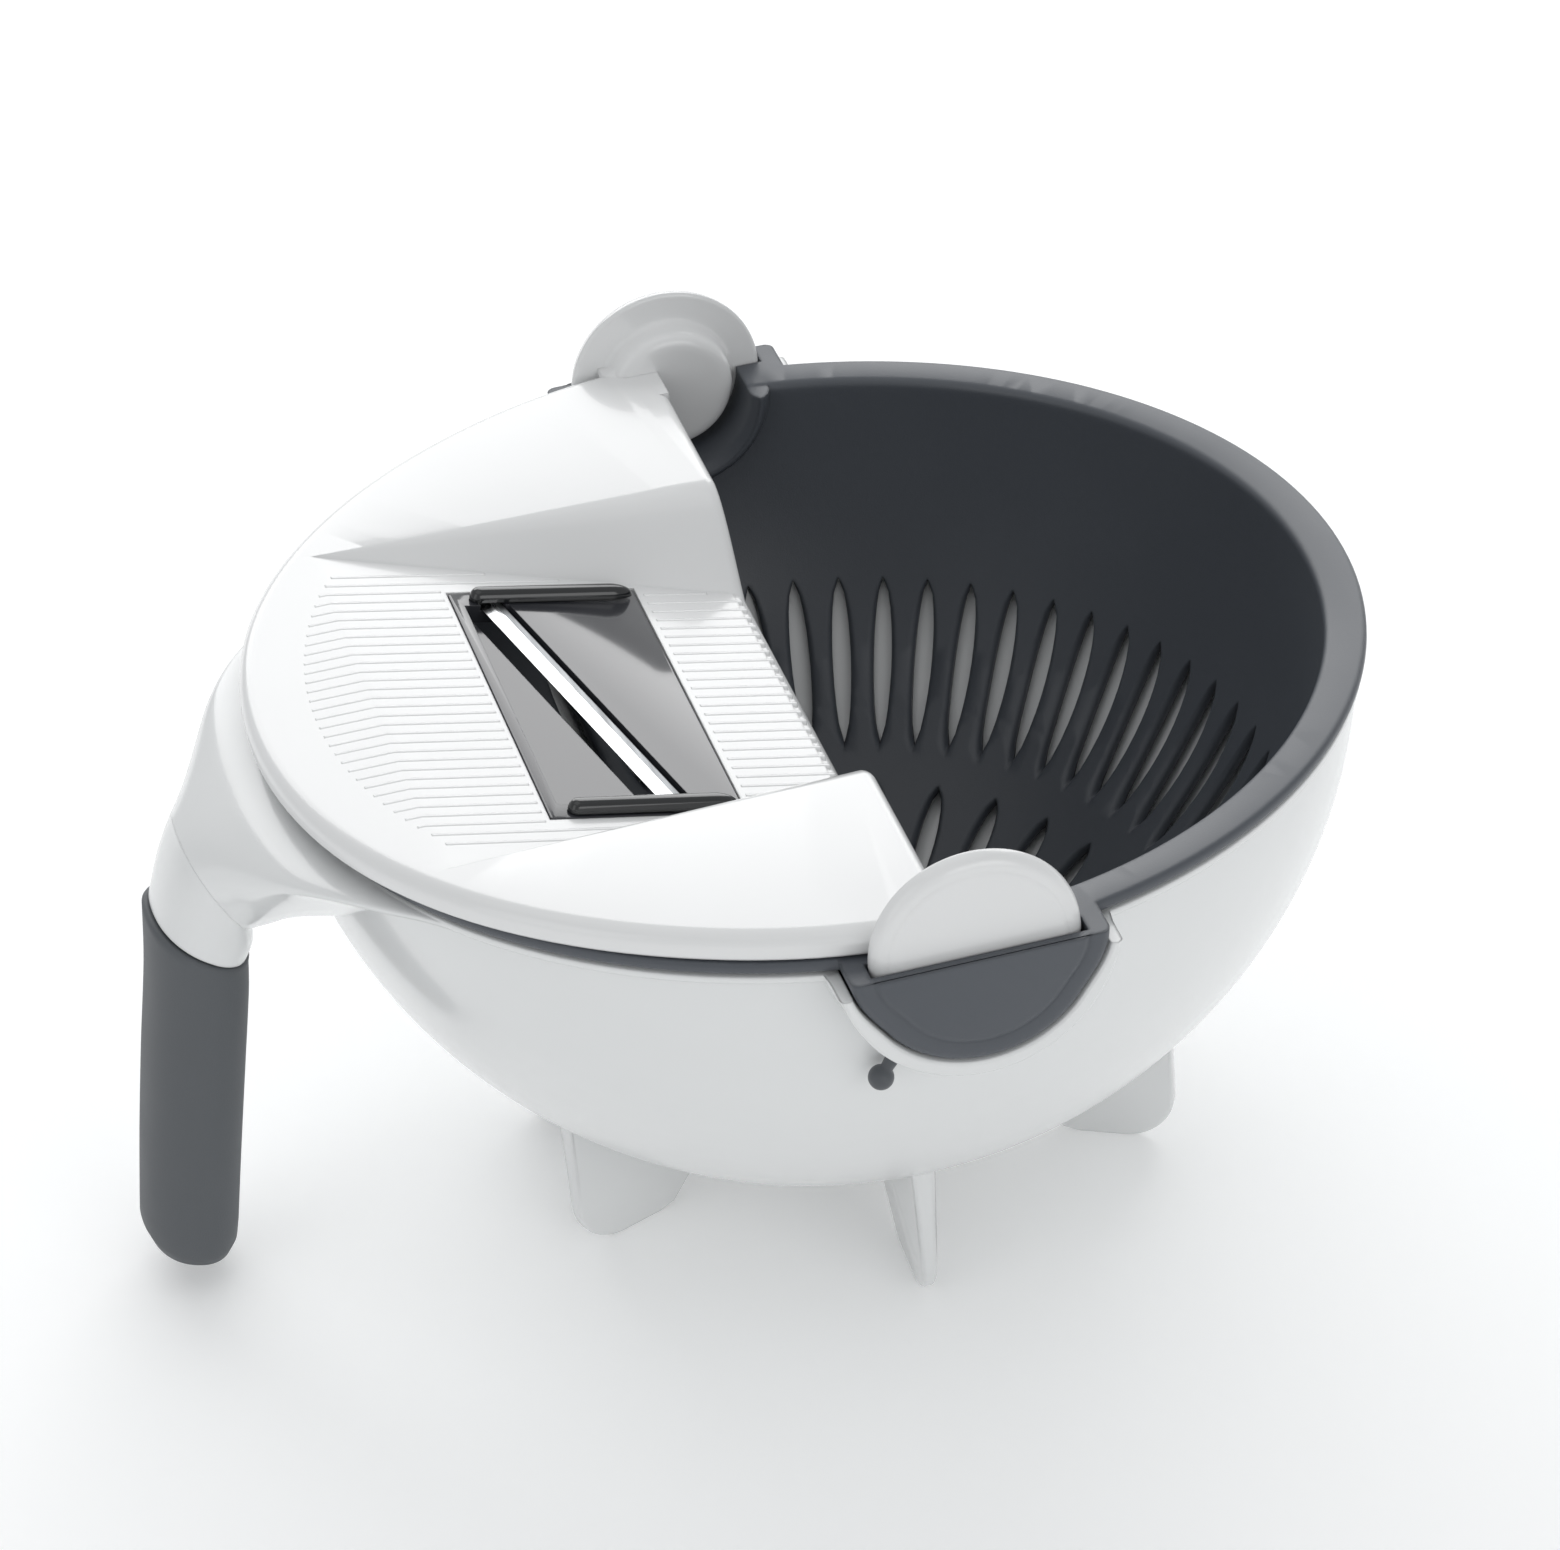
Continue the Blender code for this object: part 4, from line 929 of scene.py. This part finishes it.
points, edges = rib_lines()
rib_mesh = bpy.data.meshes.new("feed_ribs")
rib_mesh.from_pydata(points, edges, [])
feed_ribs = bpy.data.objects.new("feed_ribs", rib_mesh)
bpy.context.scene.collection.objects.link(feed_ribs)
ribs = feed_ribs.modifiers.new("ribs", "NODES")
ribs.node_group, rib_radius_id, rib_material_id = rib_tree()
ribs[rib_radius_id] = RIB_RADIUS * 0.001
ribs[rib_material_id] = lid_white
settle(feed_ribs)
soften(feed_ribs, 70)
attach(feed_ribs, "lid")

# Insert tray. A polished near-black frame that drops into the lid's window on a thin rim. The
# side before the blade lies lower by the thickness of a slice.
BLADE_TURN = radians(13.2)
BLADE_SHIFT = 2.1
BLADE_HALF = 2.3


def beside_blade(offset, y):
    """x on the insert at a sideways offset from the blade's middle line."""
    return -BLADE_SHIFT + offset / cos(BLADE_TURN) - y * sin(BLADE_TURN) / cos(BLADE_TURN)


def slanted(name, left, right, reach, low, high):
    """A cutter whose long sides follow the blade."""
    ring = [(beside_blade(left, -reach), -reach), (beside_blade(right, -reach), -reach),
            (beside_blade(right, reach), reach), (beside_blade(left, reach), reach)]
    return loft(name, [[(x, y, z) for x, y in ring] for z in (low, high)], SEAT)


def plate(name, half_x, half_y, levels, corner=0.8):
    """A rectangular plate with small round corners; levels are (z, shrink)."""
    rings = []
    for z, shrink in levels:
        ring = []
        for cx, cy, first_turn in ((1, 1, 0), (-1, 1, 90), (-1, -1, 180), (1, -1, 270)):
            for step in range(5):
                turn = radians(first_turn + 90 * step / 4)
                ring.append((cx * (half_x - corner) + (corner - shrink) * cos(turn),
                             cy * (half_y - corner) + (corner - shrink) * sin(turn), z))
        rings.append(ring)
    return loft(name, rings, SEAT)


insert_tray = plate("insert_tray_frame", INSERT_WIDTH / 2, INSERT_LENGTH / 2,
                    ((-1.2, 0.0), (-0.35, 0.0), (-0.1, 0.1), (0.0, 0.35)))
lower_body = plate("tray_body", INSERT_WIDTH / 2 - 2, INSERT_LENGTH / 2 - 2,
                   ((-4.0, 0.0), (-0.6, 0.0)))
reach = INSERT_LENGTH / 2 - 5.1
border = -INSERT_WIDTH / 2 + 2.4
edge_low = beside_blade(-BLADE_HALF - 2.2, -reach)
edge_high = beside_blade(-BLADE_HALF - 2.2, reach)
feed = [(border, -reach), (edge_low, -reach)]
if edge_high > border:
    feed += [(edge_high, reach), (border, reach)]
else:
    share = (edge_low - border) / (edge_low - edge_high)
    feed += [(border, -reach + 2 * reach * share)]
feed_side = loft("feed_side", [[(x, y, z) for x, y in feed] for z in (-2.5, 5.0)], SEAT)
slot_form = slanted("slice_slot", -BLADE_HALF - 2.6, BLADE_HALF + 1.0, reach, -6.0, 5.0)
seat_form = slanted("blade_seat", -BLADE_HALF - 0.3, BLADE_HALF + 0.3, 42.3, -1.3, 5.0)
shape(insert_tray, ("UNION", [lower_body]), ("DIFFERENCE", [feed_side, slot_form, seat_form]))
soften(insert_tray)


def black_gloss(name, colour, roughness):
    """Polished near-black plastic with hairline scratches and a little dust dulling."""
    finish = Finish(name, colour, roughness, coat=0.5)
    hairs = finish.noise(420.0, 2.0, ((1.0, 0.06, 1.0), (0, 0, 0.2)))
    dust = finish.noise(30.0, 4.0)
    finish.shade(finish.span(dust, 0.0, 0.5), tuple(c * 1.25 for c in colour))
    finish.rough(finish.span(dust, roughness, roughness + 0.05) + hairs * 0.04)
    finish.relief(hairs, 0.000003, edge=0.0003)
    return finish.material


insert_tray.data.materials.append(black_gloss("tray_black", (0.030, 0.031, 0.036), 0.07))
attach(insert_tray, "insert")
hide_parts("insert_tray")

# Slicing blade. A thin ground steel strip across the slot at a slant. Its front edge is
# hollow-ground to a bright bevel that faces the low side of the tray. Its back strip is steel
# darkened to a dull grey: painted shade for the shadowed groove behind the blade.
def strip(name, corners):
    """A long strip along the blade with the given cross-section (offset, height)."""
    rings = []
    for y in (-42.0, 42.0):
        rings.append([(beside_blade(offset, y), y, z) for offset, z in corners])
    return soften(loft(name, rings, SEAT), 6)


edge = ((-2.3, -0.93), (-2.2, -1.0), (0.75, -1.0), (0.75, -0.32), (0.3, -0.3), (-0.1, -0.31),
        (-2.3, -0.83))
back = ((0.75, -1.0), (2.3, -1.0), (2.3, -0.55), (2.1, -0.46), (0.75, -0.34))
along_blade = ((1.0, 0.03, 1.0), (0, 0, BLADE_TURN))
slicing_blade = strip("slicing_blade_edge", edge)
slicing_blade.data.materials.append(steel("blade_ground_steel", (0.80, 0.81, 0.82), 0.20,
                                          along_blade))
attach(slicing_blade, "insert")
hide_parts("slicing_blade")
# The back strip's darkened steel colour is painted shade for the shadowed groove behind the blade;
# only its higher roughness is a satin finish.
blade_back = strip("slicing_blade_back", back)
blade_back.data.materials.append(steel("blade_back_painted_shade_steel", (0.30, 0.31, 0.32), 0.42, along_blade))
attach(blade_back, "insert")

# Blade clamps. Two polished black bars, round at the feed end and pointed at the other, are
# set down over the ends of the blade and keep it flat in its seat.
for name, side in (("blade_clamp_front", -1), ("blade_clamp_rear", 1)):
    centre = side * 40.85
    rings = []
    for step in range(9):
        turn = pi / 2 * step / 8
        grow = cos(turn) * 0.82 + 0.18 if step < 8 else 0.14
        z = 0.3 + 2.3 * sin(turn)
        ring = []
        for n in range(40):
            angle = 2 * pi * n / 40
            blunt = 1.0 if cos(angle) < 0 else 2.6
            half = 2.05 * grow
            x = (17.1 - 2.05 * blunt) * (1 if cos(angle) >= 0 else -1)
            ring.append((1.5 + x + half * blunt * cos(angle), centre + half * sin(angle), z))
        rings.append(ring)
    clamp = soften(loft(name + "_bar", rings, SEAT), 60)
    clamp.data.materials.append(black_gloss(name + "_black", (0.010, 0.011, 0.012), 0.06))
    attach(clamp, "insert")
    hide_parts(name)

# Studio. A pale sweep under soft boxes: one large box high behind for the sheen on flange and
# tray, one overhead, and two at the sides, with an even white surround.
floor_mesh = bpy.data.meshes.new("studio_floor")
floor_mesh.from_pydata([(-30, -30, 0), (30, -30, 0), (30, 30, 0), (-30, 30, 0)], [], [(0, 1, 2, 3)])
studio_floor = bpy.data.objects.new("studio_floor", floor_mesh)
bpy.context.scene.collection.objects.link(studio_floor)
paper = Finish("studio_paper", (0.96, 0.965, 0.965), 0.9)
paper.shade(paper.span(paper.noise(3.0), 0.0, 0.3), (0.94, 0.945, 0.945))
paper.shader.inputs["Emission Color"].default_value = (1.0, 1.0, 1.0, 1.0)
paper.shader.inputs["Emission Strength"].default_value = 0.12
floor_mesh.materials.append(paper.material)

world = bpy.data.worlds.new("studio_surround")
bpy.context.scene.world = world
world.use_nodes = True
world.node_tree.nodes["Background"].inputs["Color"].default_value = (0.97, 0.985, 1.0, 1.0)
world.node_tree.nodes["Background"].inputs["Strength"].default_value = 0.54


def soft_box(name, where, size, power):
    """A rectangular soft light aimed at the middle of the object."""
    light = bpy.data.lights.new(name, "AREA")
    light.shape = "RECTANGLE"
    light.size, light.size_y = size
    light.energy = power
    lamp = bpy.data.objects.new(name, light)
    bpy.context.scene.collection.objects.link(lamp)
    lamp.location = where
    aim = Vector((0, 0, 0.08)) - Vector(where)
    lamp.rotation_euler = aim.to_track_quat("-Z", "Y").to_euler()


soft_box("rear_box", (0.35, 1.45, 0.95), (2.2, 1.2), 20.0)
soft_box("top_box", (-0.2, -0.1, 1.6), (1.4, 1.4), 2.5)
soft_box("left_box", (-1.4, -0.7, 0.9), (0.8, 1.2), 2.0)
soft_box("front_box", (0.5, -1.6, 0.7), (1.2, 0.8), 4.5)

azimuth, elevation, roll = radians(-12.97), radians(33.70), radians(-5.02)
behind = Vector((sin(azimuth) * cos(elevation), -cos(azimuth) * cos(elevation), sin(elevation)))
level = Vector((cos(azimuth), sin(azimuth), 0))
above = behind.cross(level)
right = level * cos(roll) + above * sin(roll)
up = above * cos(roll) - level * sin(roll)
position = behind * 1250.65 - right * 5.68 - up * 26.78
lens = bpy.data.cameras.new("studio_camera")
lens.sensor_fit = "HORIZONTAL"
lens.sensor_width = 36.0
lens.lens = 6290.89 / 1560 * 36.0
lens.clip_end = 100.0
camera = bpy.data.objects.new("studio_camera", lens)
bpy.context.scene.collection.objects.link(camera)
camera.matrix_world = Matrix.Translation((position + Vector((19.25, 0, 116.5))) * 0.001) @ Matrix(
    (right, up, behind)).transposed().to_4x4()
bpy.context.scene.camera = camera
bpy.context.scene.view_settings.view_transform = "Standard"
